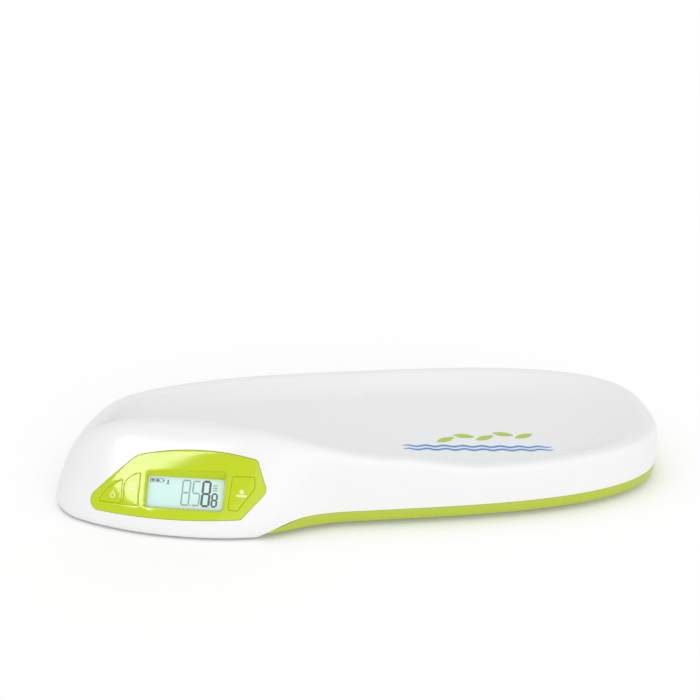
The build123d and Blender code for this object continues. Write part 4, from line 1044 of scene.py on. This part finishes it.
def grey_mix(tree, factor, first, second):
    """Grey between two levels by a factor."""
    inputs = {"A": (first, first, first, 1), "B": (second, second, second, 1), "Factor": factor}
    return new_node(tree, "ShaderNodeMix", inputs, data_type="RGBA").outputs["Result"]


def floor_finish():
    """Plain floor that adds a little white for the camera and reflections only, and keeps its shadow."""
    material, tree, shader = new_material("floor_white")
    cloud = new_node(tree, "ShaderNodeTexNoise", {"Scale": FLOOR_CLOUD}).outputs["Fac"]
    feed(tree, shader, {"Base Color": grey_mix(tree, cloud, FLOOR_WHITE, FLOOR_WHITE - FLOOR_CHANGE),
                        "Emission Color": grey_mix(tree, seen_directly(tree), 0, FLOOR_BOOST),
                        "Emission Strength": 1, "Roughness": FLOOR_ROUGHNESS,
                        "Specular IOR Level": FLOOR_GLEAM})
    return material


def surroundings(strength):
    """World that lights with the strength given, and is seen directly as white."""
    world = bpy.data.worlds.new("surroundings")
    world.use_nodes = True
    tree = world.node_tree
    lighting = feed(tree, tree.nodes["Background"], {"Color": WHITE, "Strength": strength})
    backdrop = new_node(tree, "ShaderNodeBackground", {"Color": WHITE, "Strength": 1})
    mix = new_node(tree, "ShaderNodeMixShader",
                   {"Fac": seen_directly(tree), 1: lighting.outputs[0], 2: backdrop.outputs[0]})
    feed(tree, tree.nodes["World Output"], {"Surface": mix.outputs[0]})
    return world


class BABYSCALE_OT_stage(ScaleOperator):
    """Floor, soft lamps, surroundings and camera"""

    bl_idname = "babyscale.stage"
    bl_label = "Stage"

    def execute(self, context):
        scene = context.scene
        settings = scene.scale_stage

        mesh = bpy.data.meshes.new("floor")
        corners = [(x * FLOOR_REACH, y * FLOOR_REACH, 0) for x, y in ((-1, -1), (1, -1), (1, 1), (-1, 1))]
        mesh.from_pydata(corners, [], [(0, 1, 2, 3)])
        mesh.materials.append(floor_finish())
        floor = new_object("floor", mesh)

        softbox = bpy.data.lights.new("front_softbox", "AREA")
        softbox.shape = "RECTANGLE"
        softbox.size, softbox.size_y = SOFTBOX_SIZE
        softbox.energy = settings.softbox
        holder = aimed("front_softbox", softbox, SOFTBOX_TARGET - SOFTBOX_PLACE)
        holder.location = SOFTBOX_PLACE
        holder.visible_diffuse = False

        sun = bpy.data.lights.new("broad_light", "SUN")
        sun.energy, sun.angle = settings.sun, SUN_ANGLE
        aimed("broad_light", sun, SUN_DIRECTION)

        scene.world = surroundings(settings.world)
        scene.view_settings.view_transform = "Standard"

        view = bpy.data.cameras.new("camera")
        view.lens, view.sensor_width, view.clip_end = settings.lens, SENSOR_WIDTH, CLIP_END
        camera = aimed("camera", view, CAMERA_DIRECTION)
        camera.location = CAMERA_PLACE * MM
        scene.camera = camera
        return {"FINISHED"}


class BABYSCALE_PT_sidebar(bpy.types.Panel):
    """Sizes, finishes and the order of building"""

    bl_idname = "BABYSCALE_PT_sidebar"
    bl_label = "Baby Scale"
    bl_space_type = "VIEW_3D"
    bl_region_type = "UI"
    bl_category = "Baby Scale"

    def draw(self, context):
        for group in SETTINGS:
            settings = getattr(context.scene, group)
            box = self.layout.box()
            for name in settings.__annotations__:
                box.prop(settings, name)
        for operator in OPERATORS:
            self.layout.operator(operator.bl_idname)


SETTINGS = {"housing_form": HousingForm, "scale_finishes": Finishes, "scale_stage": StageSettings}
OPERATORS = (BABYSCALE_OT_inner_finishes, BABYSCALE_OT_tray, BABYSCALE_OT_base, BABYSCALE_OT_panel,
             BABYSCALE_OT_keys, BABYSCALE_OT_display, BABYSCALE_OT_bed_print, BABYSCALE_OT_stage)


def register():
    """Registers the classes and hangs the settings on the scene."""
    for name, group in SETTINGS.items():
        bpy.utils.register_class(group)
        setattr(bpy.types.Scene, name, PointerProperty(type=group))
    for cls in (*OPERATORS, BABYSCALE_PT_sidebar):
        bpy.utils.register_class(cls)


def unregister():
    """Takes back what register did."""
    for cls in (BABYSCALE_PT_sidebar, *reversed(OPERATORS)):
        bpy.utils.unregister_class(cls)
    for name, group in SETTINGS.items():
        delattr(bpy.types.Scene, name)
        bpy.utils.unregister_class(group)


def main():
    """Registers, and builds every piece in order."""
    register()
    bpy.context.scene["outline_middle"] = outline_middle()
    for operator in OPERATORS:
        getattr(bpy.ops.babyscale, operator.bl_idname.split(".")[1])()


if __name__ == "__main__":
    main()
